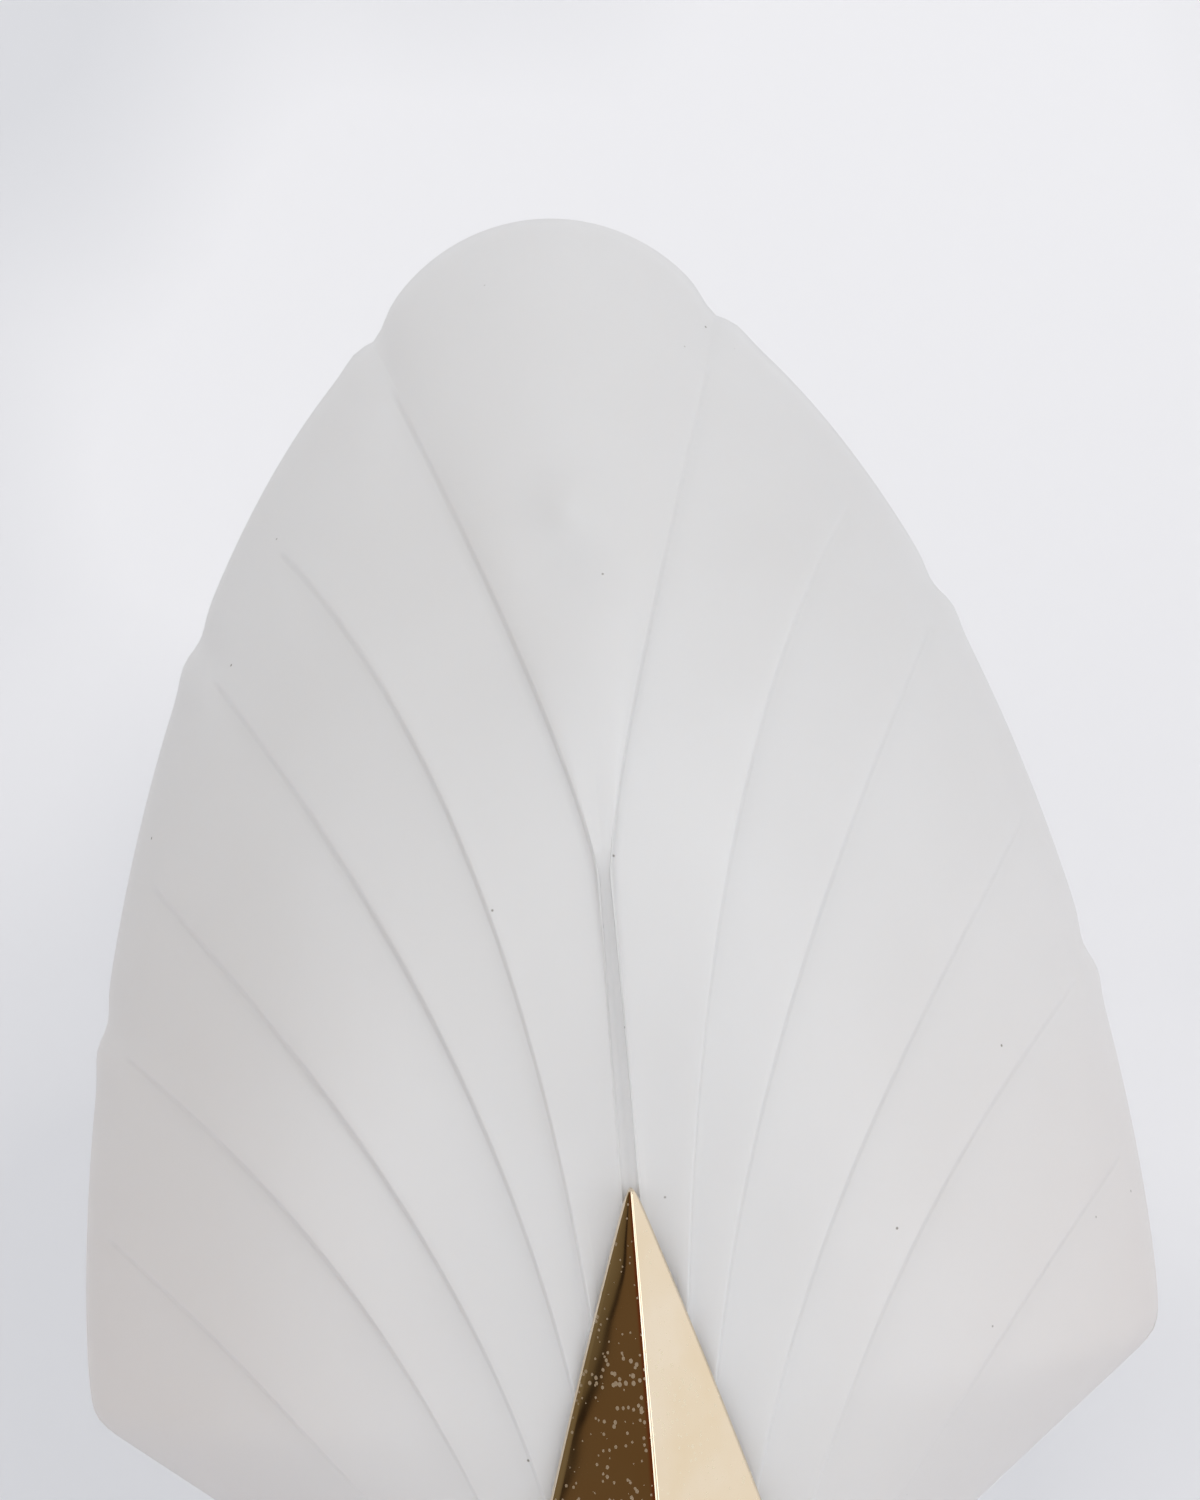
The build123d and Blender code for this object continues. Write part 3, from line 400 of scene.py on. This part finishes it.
def shell_half(rows, inside):
    """One face of the right half: x, depth and height on a grid of lines and rows."""
    s = 1 - (1 - np.linspace(0, 1, rows)) ** row_crowd
    foot_half = float(outline(np.array(foot_height)))
    wall = glass_wall if inside else 0.0
    faces, blocks = [], shell_blocks()
    for part in blocks:
        places, eased, feet = block_places(part, s)
        normals = part["normals"][:, None, :]
        foot_inset = wall * (1 - eased) * (feet / foot_half)[:, None]
        places = places - np.stack([foot_inset, 0 * eased], -1)
        places = places - (eased * wall)[..., None] * normals
        ends = places[:, -1]
        room = np.linalg.norm(ends[:, None, :] - places, axis=-1)
        rise = bowl(places[..., 0], places[..., 1], wall)
        rise = rise - bowl(ends[:, 0], ends[:, 1], wall)[:, None] * eased ** rim_pull
        if inside:
            rise = np.maximum(rise, 0.0)
        else:
            rise = rise + raised(blocks, part, places, eased, room)
        rise[:, -1] = 0.0
        swing = part["swing"][:, None] * smooth_step(1 - room / notch_room)
        places = places + swing[..., None] * normals
        faces.append(np.stack([places[..., 0], rim_gap + rise, places[..., 1]], -1))
    half = np.concatenate(faces)
    half[-1, :, 1] = rim_gap
    return half


outer_half, inner_half = shell_half(outer_rows, False), shell_half(inner_rows, True)
print("lines on the right half:", len(outer_half),
      "deepest", round(outer_half[..., 1].max(), 1), "mm")

# %% [markdown]
# ## One closed shell
# The outside, the ground rim, the smooth inside and the cut foot form a closed ring
# along every line, and the rings are joined from the left edge to the right edge. The
# sharp arrises of the ground rim are marked, so the light breaks there.

# %% The glass shell
arris_share, arris_proud = 0.12, 0.5  # the outer arris is rounded over this part of the wall


def world(points):
    """From (x, depth, height) in mm to the row frame in metres."""
    return np.stack([points[..., 0], -points[..., 1], points[..., 2] - plate_height], -1) * MM


def mirror(half):
    """The left half is the right half turned over, without its middle line."""
    left = half[:0:-1] * np.array([-1, 1, 1])
    return np.concatenate([left, half])


def mesh_object(name, vertices, faces, smooth=True):
    """A piece from arrays of vertices and faces, at the origin."""
    mesh = bpy.data.meshes.new(name)
    mesh.from_pydata(vertices.tolist(), [], faces)
    mesh.polygons.foreach_set("use_smooth", [smooth] * len(mesh.polygons))
    piece = bpy.data.objects.new(name, mesh)
    bpy.context.collection.objects.link(piece)
    return piece


outer, inner = mirror(outer_half), mirror(inner_half)[:, ::-1]
rim_soft = outer[:, -1:] + arris_share * (inner[:, :1] - outer[:, -1:])
outer[:, -1, 1] += arris_proud
outer[0, -1, 1] = outer[-1, -1, 1] = rim_gap
rings = np.concatenate([outer, rim_soft, inner], axis=1)
lines, per_ring = rings.shape[:2]
index = np.arange(lines * per_ring).reshape(lines, per_ring)
ahead = np.roll(index, -1, axis=1)
quads = np.stack([index[1:], ahead[1:], ahead[:-1], index[:-1]], -1).reshape(-1, 4).tolist()
caps = [index[0].tolist(), index[-1, ::-1].tolist()]
glass = mesh_object("glass_shell_fine", world(rings).reshape(-1, 3), quads + caps)
sharp_rows = np.array([outer_rows - 1, outer_rows, outer_rows + 1, per_ring - 1, 0])
ends = np.empty(2 * len(glass.data.edges), int)
glass.data.edges.foreach_get("vertices", ends)
rows = ends.reshape(-1, 2) % per_ring
is_sharp = (rows[:, 0] == rows[:, 1]) & np.isin(rows[:, 0], sharp_rows)
glass.data.edges.foreach_set("use_edge_sharp", is_sharp)
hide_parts("glass_shell")
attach(glass, "fixture")
print("glass shell:", len(glass.data.polygons), "faces")

# %% [markdown]
# ## The brass cover
# The cover is drawn sheet brass: two front facets that meet in a ridge, and narrow side
# walls that run back to the glass. It is made again here because its mirror shows every
# softened edge: the tip is rounded, the ridge and the outer edges have a small radius,
# each facet is a little full, and the tip stands clear of the glass all round.

# %% The brass cover
cover_tip, cover_top, cover_round = 160.0, 157.0, 1.3
cover_half_foot, cover_bow, cover_wall = 48.0, 1.6, 1.6
ridge_foot, ridge_tip, facet_fall = 132.0, 118.0, 43.5 / 48
cover_rear, cover_gap, facet_full = 46.0, 0.5, 0.40
ridge_soft, edge_soft, edge_most = 0.2, 1.0, 0.4
cover_rows, row_gather, facet_lines, facet_gather, edge_lines, wall_lines = 120, 1.6, 22, 1.3, 6, 5
inner_short, thinnest = 5.0, 0.1


def cover_half_width(h):
    """Half the width: a straight taper with a small bow, t = h / tip, times
    sqrt(1 - e^(-room / round)), which rounds the top."""
    t = h / cover_tip
    taper = cover_half_foot * (1 - t) + 4 * cover_bow * t * (1 - t)
    return taper * np.sqrt(1 - np.exp(-np.maximum(cover_top - h, 0.02) / cover_round))


def cover_section(h, inset):
    """Points (x, depth, height) of the right half of each level section, from the ridge
    along the facet, round the outer edge and back to just off the glass, or to the
    cover's rear where the glass lies further back."""
    half = np.maximum(cover_half_width(h) - inset, thinnest)[:, None]
    below = np.clip((cover_round - (cover_top - h)) / cover_round, 0, 1)
    ridge = ridge_foot + (ridge_tip - ridge_foot) * h / cover_tip
    ridge = ridge - inset * np.hypot(1, facet_fall)
    ridge = (ridge - cover_round * (1 - np.sqrt(1 - 0.98 * below ** 2)))[:, None]
    corner = np.minimum(edge_soft, edge_most * half)
    u = np.linspace(0, 1, facet_lines)[None] ** facet_gather
    x = u * (half - corner * cos(atan2(facet_fall, 1)))
    full = facet_full * 4 * (x / half) * (1 - x / half) * half / cover_half_foot
    depth = ridge - facet_fall * (np.hypot(x, ridge_soft) - ridge_soft) + full
    t = np.linspace(0, 1, edge_lines)[None, 1:]
    edge_depth = ridge - facet_fall * (half - ridge_soft)
    bend_x = (1 - t) ** 2 * x[:, -1:] + (1 - (1 - t) ** 2) * half
    bend_depth = ((1 - t) ** 2 * depth[:, -1:] + 2 * t * (1 - t) * edge_depth
                  + t ** 2 * (edge_depth - corner))
    on_glass = rim_gap + bowl(half[:, 0], h) + rib_step / 2 + cover_gap
    rear = np.where(h < foot_height, cover_rear, np.maximum(on_glass, cover_rear))[:, None]
    rear = np.minimum(rear, bend_depth[:, -1:] - thinnest)
    back = np.linspace(0, 1, wall_lines)[None, 1:]
    wall_depth = bend_depth[:, -1:] + back * (rear - bend_depth[:, -1:])
    xs = np.concatenate([x, bend_x, half + 0 * back], axis=1)
    depths = np.concatenate([depth, bend_depth, wall_depth], axis=1)
    return np.stack([xs, depths, h[:, None] + 0 * xs], -1)


foot_rows = np.array([0.0, 4.0, 8.0, foot_height - 0.05])
upper_rows = cover_top - (cover_top - foot_height) * np.linspace(1, 0, cover_rows) ** row_gather
outer_heights = np.concatenate([foot_rows, upper_rows])
inner_heights = cover_wall + outer_heights * (cover_top - inner_short - cover_wall) / cover_top
skins = []
for heights, inset in ((outer_heights, 0.0), (inner_heights, cover_wall)):
    section = cover_section(heights, inset)
    left = section[:, :0:-1] * np.array([-1, 1, 1])
    skins.append(np.concatenate([left, section], axis=1))
rows, columns = skins[0].shape[:2]
outside = np.arange(rows * columns).reshape(rows, columns)
inside = outside + rows * columns
faces = []
for skin, step in ((outside, 1), (inside, -1)):
    sheet = np.stack([skin[:-1, :-1], skin[:-1, 1:], skin[1:, 1:], skin[1:, :-1]], -1)
    faces += sheet.reshape(-1, 4)[:, ::step].tolist()
    faces += [skin[0, ::-step].tolist(), skin[-1, ::step].tolist()]
for side, step in ((0, 1), (-1, -1)):
    border = np.stack([outside[:-1, side], outside[1:, side],
                       inside[1:, side], inside[:-1, side]], -1)
    faces += border[:, ::step].tolist()
faces.append([outside[0, 0], inside[0, 0], inside[0, -1], outside[0, -1]])
faces.append([outside[-1, -1], inside[-1, -1], inside[-1, 0], outside[-1, 0]])
faces = [[int(v) for v in face] for face in faces]
cover = mesh_object("pyramid_cover_fine", world(np.concatenate(skins)).reshape(-1, 3), faces)
cover_high = round(float(skins[0][..., 2].max()), 1)
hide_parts("pyramid_cover")
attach(cover, "fixture")
print("cover:", len(cover.data.polygons), "faces, top", cover_high, "mm")

# %% [markdown]
# ## Satin glass
# The outside of the glass is acid etched: milky, soft and almost without a mirror
# image. Most of its look is diffuse with a broad sheen, and a little light comes
# through. The colour drifts by a few levels, there are rare dark seeds in the glass,
# and the etch gives a very fine grain, about half a millimetre.

# %% Material of the glass
seed_cell, seed_small, seed_large = 1000 / 60, 0.014, 0.030


def satin_glass():
    """Acid-etched pressed glass: a milky body with painted warm light on its lower outer sides,
    under a broad sheen, so that the ribs show as shade and never as glints."""
    material, tree, shader, place = new_material("satin_etched_glass")
    drift = noise(tree, place, 90, detail=2)
    cool = ramp(tree, drift, [(0.2, "#E2E1E0"), (0.8, "#E9E9E9")])
    spot = add_node(tree, "SeparateXYZ", Vector=place)
    aside = add_node(tree, "Math", {"operation": "ABSOLUTE"}, i0=spot.outputs["X"])
    # painted warm light: a warm pinkish tint laid into the colour of the lower outer sides of the
    # glass
    outer_side = spread(tree, aside.outputs[0], 0.0, 0.75, 0.03, 0.15)
    lower = spread(tree, spot.outputs["Z"], 1.0, 0.0, -0.12, 0.10)
    painted_warm_light = add_node(tree, "Math", {"operation": "MULTIPLY"}, i0=outer_side, i1=lower)
    base = blend(tree, painted_warm_light.outputs[0], cool, "#E6DEDA")
    seeds = add_node(tree, "TexVoronoi", {"feature": "F1"}, Vector=place,
                     Scale=1000 / seed_cell, Randomness=1.0)
    dark = spread(tree, seeds.outputs["Distance"], 1.0, 0.0, seed_small, seed_large)
    tree.links.new(blend(tree, dark, base, "#8D8880"), shader.inputs["Base Color"])
    etch = noise(tree, place, 0.9, detail=4, roughness=0.6)
    ripple = noise(tree, place, 14, detail=1)
    tree.links.new(spread(tree, ripple, 0.36, 0.46), shader.inputs["Roughness"])
    fine = add_node(tree, "Bump", Strength=0.10, Distance=0.00010, Height=etch)
    broad = add_node(tree, "Bump", Strength=0.25, Distance=0.0005, Height=ripple,
                     Normal=fine.outputs[0])
    tree.links.new(broad.outputs[0], shader.inputs["Normal"])
    shader.inputs["IOR"].default_value = 1.5
    shader.inputs["Specular IOR Level"].default_value = 0.45
    shader.inputs["Transmission Weight"].default_value = 0.15
    shader.inputs["Subsurface Weight"].default_value = 0.5
    shader.inputs["Subsurface Radius"].default_value = (0.009, 0.0085, 0.008)
    shader.inputs["Subsurface Scale"].default_value = 1.0
    return material


glass_material = satin_glass()
glass.data.materials.append(glass_material)
print("material:", glass_material.name)

# %% [markdown]
# ## Polished brass with age
# The pyramid is mirror-polished sheet brass. Years have left a warm tarnish in soft
# clouds, and many tiny specks where the lacquer let go. On bare metal all of that
# lives in colour and roughness, so the mirror stays sharp between the specks.

# %% Brass, metals and their finishes
speck_cell, speck_small, speck_large = 1000 / 520, 0.0, 0.34


def polished_brass():
    """Mirror-polished brass under old lacquer: a warm sharp mirror for the facets, with
    pale dull specks, about 1 mm across, that gather in clouds."""
    material, tree, shader, place = new_material("polished_brass_aged")
    clouds = noise(tree, place, 38, detail=4, roughness=0.55)
    base = ramp(tree, clouds, [(0.3, "#E3D0B2"), (0.7, "#EADDCA")])
    specks = add_node(tree, "TexVoronoi", {"feature": "F1"}, Vector=place,
                      Scale=1000 / speck_cell, Randomness=1.0)
    gate = noise(tree, place, 14, detail=2)
    size = spread(tree, gate, speck_small, speck_large, 0.22, 0.68)
    inside = add_node(tree, "Math", {"operation": "LESS_THAN"},
                      i0=specks.outputs["Distance"], i1=size)
    tree.links.new(blend(tree, inside.outputs[0], base, "#E6D8BE"), shader.inputs["Base Color"])
    dull = add_node(tree, "Math", {"operation": "MULTIPLY"}, i0=inside.outputs[0], i1=0.3)
    soft = spread(tree, clouds, 0.02, 0.06, 0.35, 0.7)
    rough = add_node(tree, "Math", {"operation": "ADD"}, i0=dull.outputs[0], i1=soft)
    tree.links.new(rough.outputs[0], shader.inputs["Roughness"])
    wave = noise(tree, place, 30, detail=1)
    bump = add_node(tree, "Bump", Strength=0.15, Distance=0.0006, Height=wave)
    tree.links.new(bump.outputs[0], shader.inputs["Normal"])
    shader.inputs["Metallic"].default_value = 1.0
    return material


def worked_finish(name, stops, size_mm, rough, metallic=0.0, grain=0.05,
                  stretch=(1, 1, 1), coat=0.0, bump_mm=0.05):
    """A finish with two scales of change: slow drift in its colour, and a fine grain
    in its roughness and bump whose size is told in mm."""
    material, tree, shader, place = new_material(name)
    drift = noise(tree, place, size_mm * 12, detail=3)
    base = ramp(tree, drift, [(0.3, stops[0]), (0.7, stops[1])])
    tree.links.new(base, shader.inputs["Base Color"])
    fine = noise(tree, place, size_mm, detail=3, stretch=stretch)
    roughness = spread(tree, fine, rough - grain, rough + grain, 0.3, 0.7)
    tree.links.new(roughness, shader.inputs["Roughness"])
    bump = add_node(tree, "Bump", Strength=0.5, Distance=bump_mm * MM, Height=fine)
    tree.links.new(bump.outputs[0], shader.inputs["Normal"])
    shader.inputs["Metallic"].default_value = metallic
    shader.inputs["Coat Weight"].default_value = coat
    return material


def dress(material, *nodes):
    """Give CAD nodes a material."""
    for name in nodes:
        slots = frame["nodes"][name].data.materials
        slots.clear()
        slots.append(material)


cover.data.materials.append(polished_brass())
# turned and drawn brass, with fine marks round its length
dress(worked_finish("turned_brass", ("#A9854C", "#C4A266"), 0.5, 0.28, 1.0, stretch=(1, 1, 8)),
      "cover_bridge", "thumb_screw", "nipple", "nipple_nuts", "earth_washer")
# thin drawn sheet of the screw shell, brighter from handling
dress(worked_finish("drawn_brass_sheet", ("#B58F54", "#CDAE74"), 0.8, 0.22, 1.0,
                    stretch=(1, 1, 5)), "socket_shell")
# rolled spring bronze, redder than brass
dress(worked_finish("rolled_spring_bronze", ("#A0683C", "#B98450"), 0.5, 0.3, 1.0,
                    stretch=(1, 9, 1)), "centre_contact")
# satin paint on the pressed steel parts, with a slight orange peel
dress(worked_finish("satin_painted_steel", ("#B9BBBC", "#C6C8C9"), 1.6, 0.42, 0.0,
                    coat=0.15, bump_mm=0.03), "wall_plate", "carrier_arm", "rest_strap")
# zinc-plated screws and rivets, faintly blue and uneven
dress(worked_finish("zinc_plated_steel", ("#A7ACB0", "#C0C2BE"), 0.6, 0.33, 1.0),
      "arm_screws", "rest_rivets", "terminal_screws", "block_rivet", "earth_screw")
print("metals dressed")

# %% [markdown]
# ## Rubber, plastic, ceramic and the lamp
# Behind the glass sit the quiet pieces: silicone pads, a rubber grommet, a moulded
# lampholder with a ceramic disc, and the lamp with its opal bulb. Each has its own
# sheen, because that is how the eye tells them apart when they are all pale.

# %% Soft and moulded pieces
def clear_silicone():
    """Moulded silicone: hazy and half clear, so it never looks as hard as the glass."""
    material, tree, shader, place = new_material("clear_silicone")
    haze = noise(tree, place, 3.0)
    base = ramp(tree, haze, [(0.3, "#DADBD8"), (0.7, "#E6E6E2")])
    tree.links.new(base, shader.inputs["Base Color"])
    tree.links.new(spread(tree, haze, 0.38, 0.5), shader.inputs["Roughness"])
    shader.inputs["Transmission Weight"].default_value = 0.5
    shader.inputs["IOR"].default_value = 1.41
    return material


def opal_bulb():
    """Opal lamp glass: an even, warm white body under a glossy skin."""
    material, tree, shader, place = new_material("opal_lamp_glass")
    powder = noise(tree, place, 6.0)
    base = ramp(tree, powder, [(0.3, "#EFECE4"), (0.7, "#F5F3EE")])
    tree.links.new(base, shader.inputs["Base Color"])
    tree.links.new(spread(tree, powder, 0.1, 0.16), shader.inputs["Roughness"])
    shader.inputs["Subsurface Weight"].default_value = 0.4
    shader.inputs["Subsurface Radius"].default_value = (0.004, 0.004, 0.004)
    shader.inputs["Subsurface Scale"].default_value = 1.0
    return material


dress(clear_silicone(), "front_pad", "rear_pad", "clamp_sleeve", "rest_bumper")
# grey rubber, dull and slightly grainy, darker than all that is round it
dress(worked_finish("grey_rubber", ("#4C4E50", "#5B5D5F"), 0.4, 0.7, grain=0.08, bump_mm=0.03),
      "cable_grommet")
# moulded plastic, a warm white with a faint gloss
dress(worked_finish("white_moulded_plastic", ("#DEDCD2", "#E8E6DD"), 0.7, 0.4, coat=0.1,
                    bump_mm=0.02), "holder_cap", "holder_skirt", "terminal_block")
# unglazed ceramic, chalky and without any gloss
dress(worked_finish("unglazed_steatite", ("#DDD8CB", "#E8E4D9"), 0.3, 0.75, bump_mm=0.04),
      "holder_disc")
# a drop of solder, grey and lumpy
dress(worked_finish("soft_solder", ("#9D9D9A", "#B9B9B6"), 1.2, 0.35, 1.0, bump_mm=0.15),
      "lamp_contact")
# black glass insulator of the cap, the one glossy dark spot of the lamp
dress(worked_finish("black_vitrite", ("#141417", "#1D1D21"), 1.5, 0.15, coat=0.5, bump_mm=0.05),
      "lamp_insulator")
# rolled aluminium, with marks round the cap from its rolling
dress(worked_finish("rolled_aluminium_cap", ("#B4B4B0", "#CBCBC8"), 0.7, 0.3, 1.0,
                    stretch=(1, 1, 6)), "lamp_cap")
dress(opal_bulb(), "bulb")
# extruded sleeves of the two leads, smooth with a slight shine
dress(worked_finish("brown_wire_sleeve", ("#4F2F1A", "#5E3A22"), 0.8, 0.35, coat=0.2,
                    bump_mm=0.02), "live_lead")
dress(worked_finish("blue_wire_sleeve", ("#1F4C8F", "#2A5BA3"), 0.8, 0.35, coat=0.2,
                    bump_mm=0.02), "neutral_lead")
print("soft and moulded pieces dressed")

# %% [markdown]
# ## Wall, floor and light
# A pale backdrop stands 0.4 m behind the sconce, over a pale floor, because the
# photograph shows no contact shadow. Both are seen from the front only: their back side
# lets the camera through, so the lamp can be looked at from behind. A large soft light
# stands at the upper right, a weaker one in front to the left and one at each side. The
# room around is a gentle grey, and what the left facet of the brass mirrors is darker.

# %% Stage and lights
def stage_material(name, stops):
    """Matt paint with painted light, lighter from left to right as if lit from the right, and
    clear from behind.
    """
    material, tree, shader, place = new_material(name)
    across = add_node(tree, "SeparateXYZ", Vector=place).outputs["X"]
    paint = noise(tree, place, 400, detail=2)
    # painted light: backdrop and floor are coloured lighter toward the right, where the key light
    # stands
    painted_light_gradient = spread(tree, across, -0.06, 0.06, -0.3, 0.3)
    shade = add_node(tree, "Math", {"operation": "ADD"}, i0=paint, i1=painted_light_gradient)
    tree.links.new(ramp(tree, shade.outputs[0], stops), shader.inputs["Base Color"])
    shader.inputs["Roughness"].default_value = 0.9
    shader.inputs["Specular IOR Level"].default_value = 0.2
    behind = add_node(tree, "NewGeometry").outputs["Backfacing"]
    clear = add_node(tree, "BsdfTransparent")
    both = add_node(tree, "MixShader", Fac=behind, i1=shader.outputs[0], i2=clear.outputs[0])
    tree.links.new(both.outputs[0], tree.nodes["Material Output"].inputs["Surface"])
    return material


backdrop, stage_half, stage_front, stage_low, stage_high = 0.4, 2.5, -3.0, -1.2, 2.3


def stage_sheet(name, edges):
    """A flat sheet between two edges that run left to right, each told as (y, z)."""
    (y0, z0), (y1, z1) = edges
    corners = np.array([[-stage_half, y0, z0], [stage_half, y0, z0],
                        [stage_half, y1, z1], [-stage_half, y1, z1]])
    return mesh_object(name, corners, [[0, 1, 2, 3]], smooth=False)


wall = stage_sheet("wall", [(backdrop, stage_low), (backdrop, stage_high)])
floor = stage_sheet("floor", [(stage_front, stage_low), (backdrop, stage_low)])
pale = stage_material("pale_paint", [(0.4, "#E2E3E6"), (0.6, "#F5F5F7")])
wall.data.materials.append(pale)
floor.data.materials.append(pale)

light_target = Vector((0, 0, 0.05))


def soft_light(name, place, size, watts):
    """A square white area lamp aimed at the middle of the sconce."""
    data = bpy.data.lights.new(name, "AREA")
    data.shape, data.size, data.energy = "SQUARE", size, watts
    lamp = bpy.data.objects.new(name, data)
    bpy.context.collection.objects.link(lamp)
    lamp.location = place
    lamp.rotation_euler = (light_target - Vector(place)).to_track_quat("-Z", "Y").to_euler()


soft_light("key_upper_right", (0.8, -2.0, 1.4), 1.4, 10.5)
soft_light("front_fill", (-0.8, -2.6, 0.5), 1.8, 6)
soft_light("side_left", (-1.4, -1.3, 0.1), 1.0, 4.5)
soft_light("side_right", (1.4, -1.3, -0.3), 1.0, 4.5)

room = bpy.data.worlds.new("room")
bpy.context.scene.world = room
room.use_nodes = True
tree = room.node_tree
look = add_node(tree, "SeparateXYZ", Vector=add_node(tree, "TexCoord").outputs["Generated"])
greys = ramp(tree, spread(tree, look.outputs["X"], 0.0, 1.0, -1.0, 1.0),
             [(0.07, "#D6D6D6"), (0.5, "#D2D2D4"), (0.94, "#D8D8DA"), (0.975, "#FFFFFF")])
# the dark left side of the room, as strips of brown, black and olive
slant = add_node(tree, "Math", {"operation": "MULTIPLY_ADD"},
                 i0=look.outputs["Z"], i1=1.14, i2=look.outputs["Y"])
left_room = ramp(tree, spread(tree, slant.outputs[0], 0.0, 1.0, -0.20, -0.10),
                 [(0.40, "#654E32"), (0.43, "#241A12"), (0.50, "#241A12"), (0.53, "#625238"),
                  (0.9, "#74654A")])
reddish = spread(tree, look.outputs["Y"], 1.0, 0.0, -0.215, -0.185)
corner = blend(tree, reddish, left_room, "#63371E")
far_left = spread(tree, look.outputs["X"], 1.0, 0.0, -0.92, -0.86)
shades = blend(tree, far_left, greys, corner)
tree.links.new(shades, tree.nodes["Background"].inputs["Color"])
tree.nodes["Background"].inputs["Strength"].default_value = 1.0
bpy.context.scene.view_settings.view_transform = "Standard"
print("stage and lights ready")
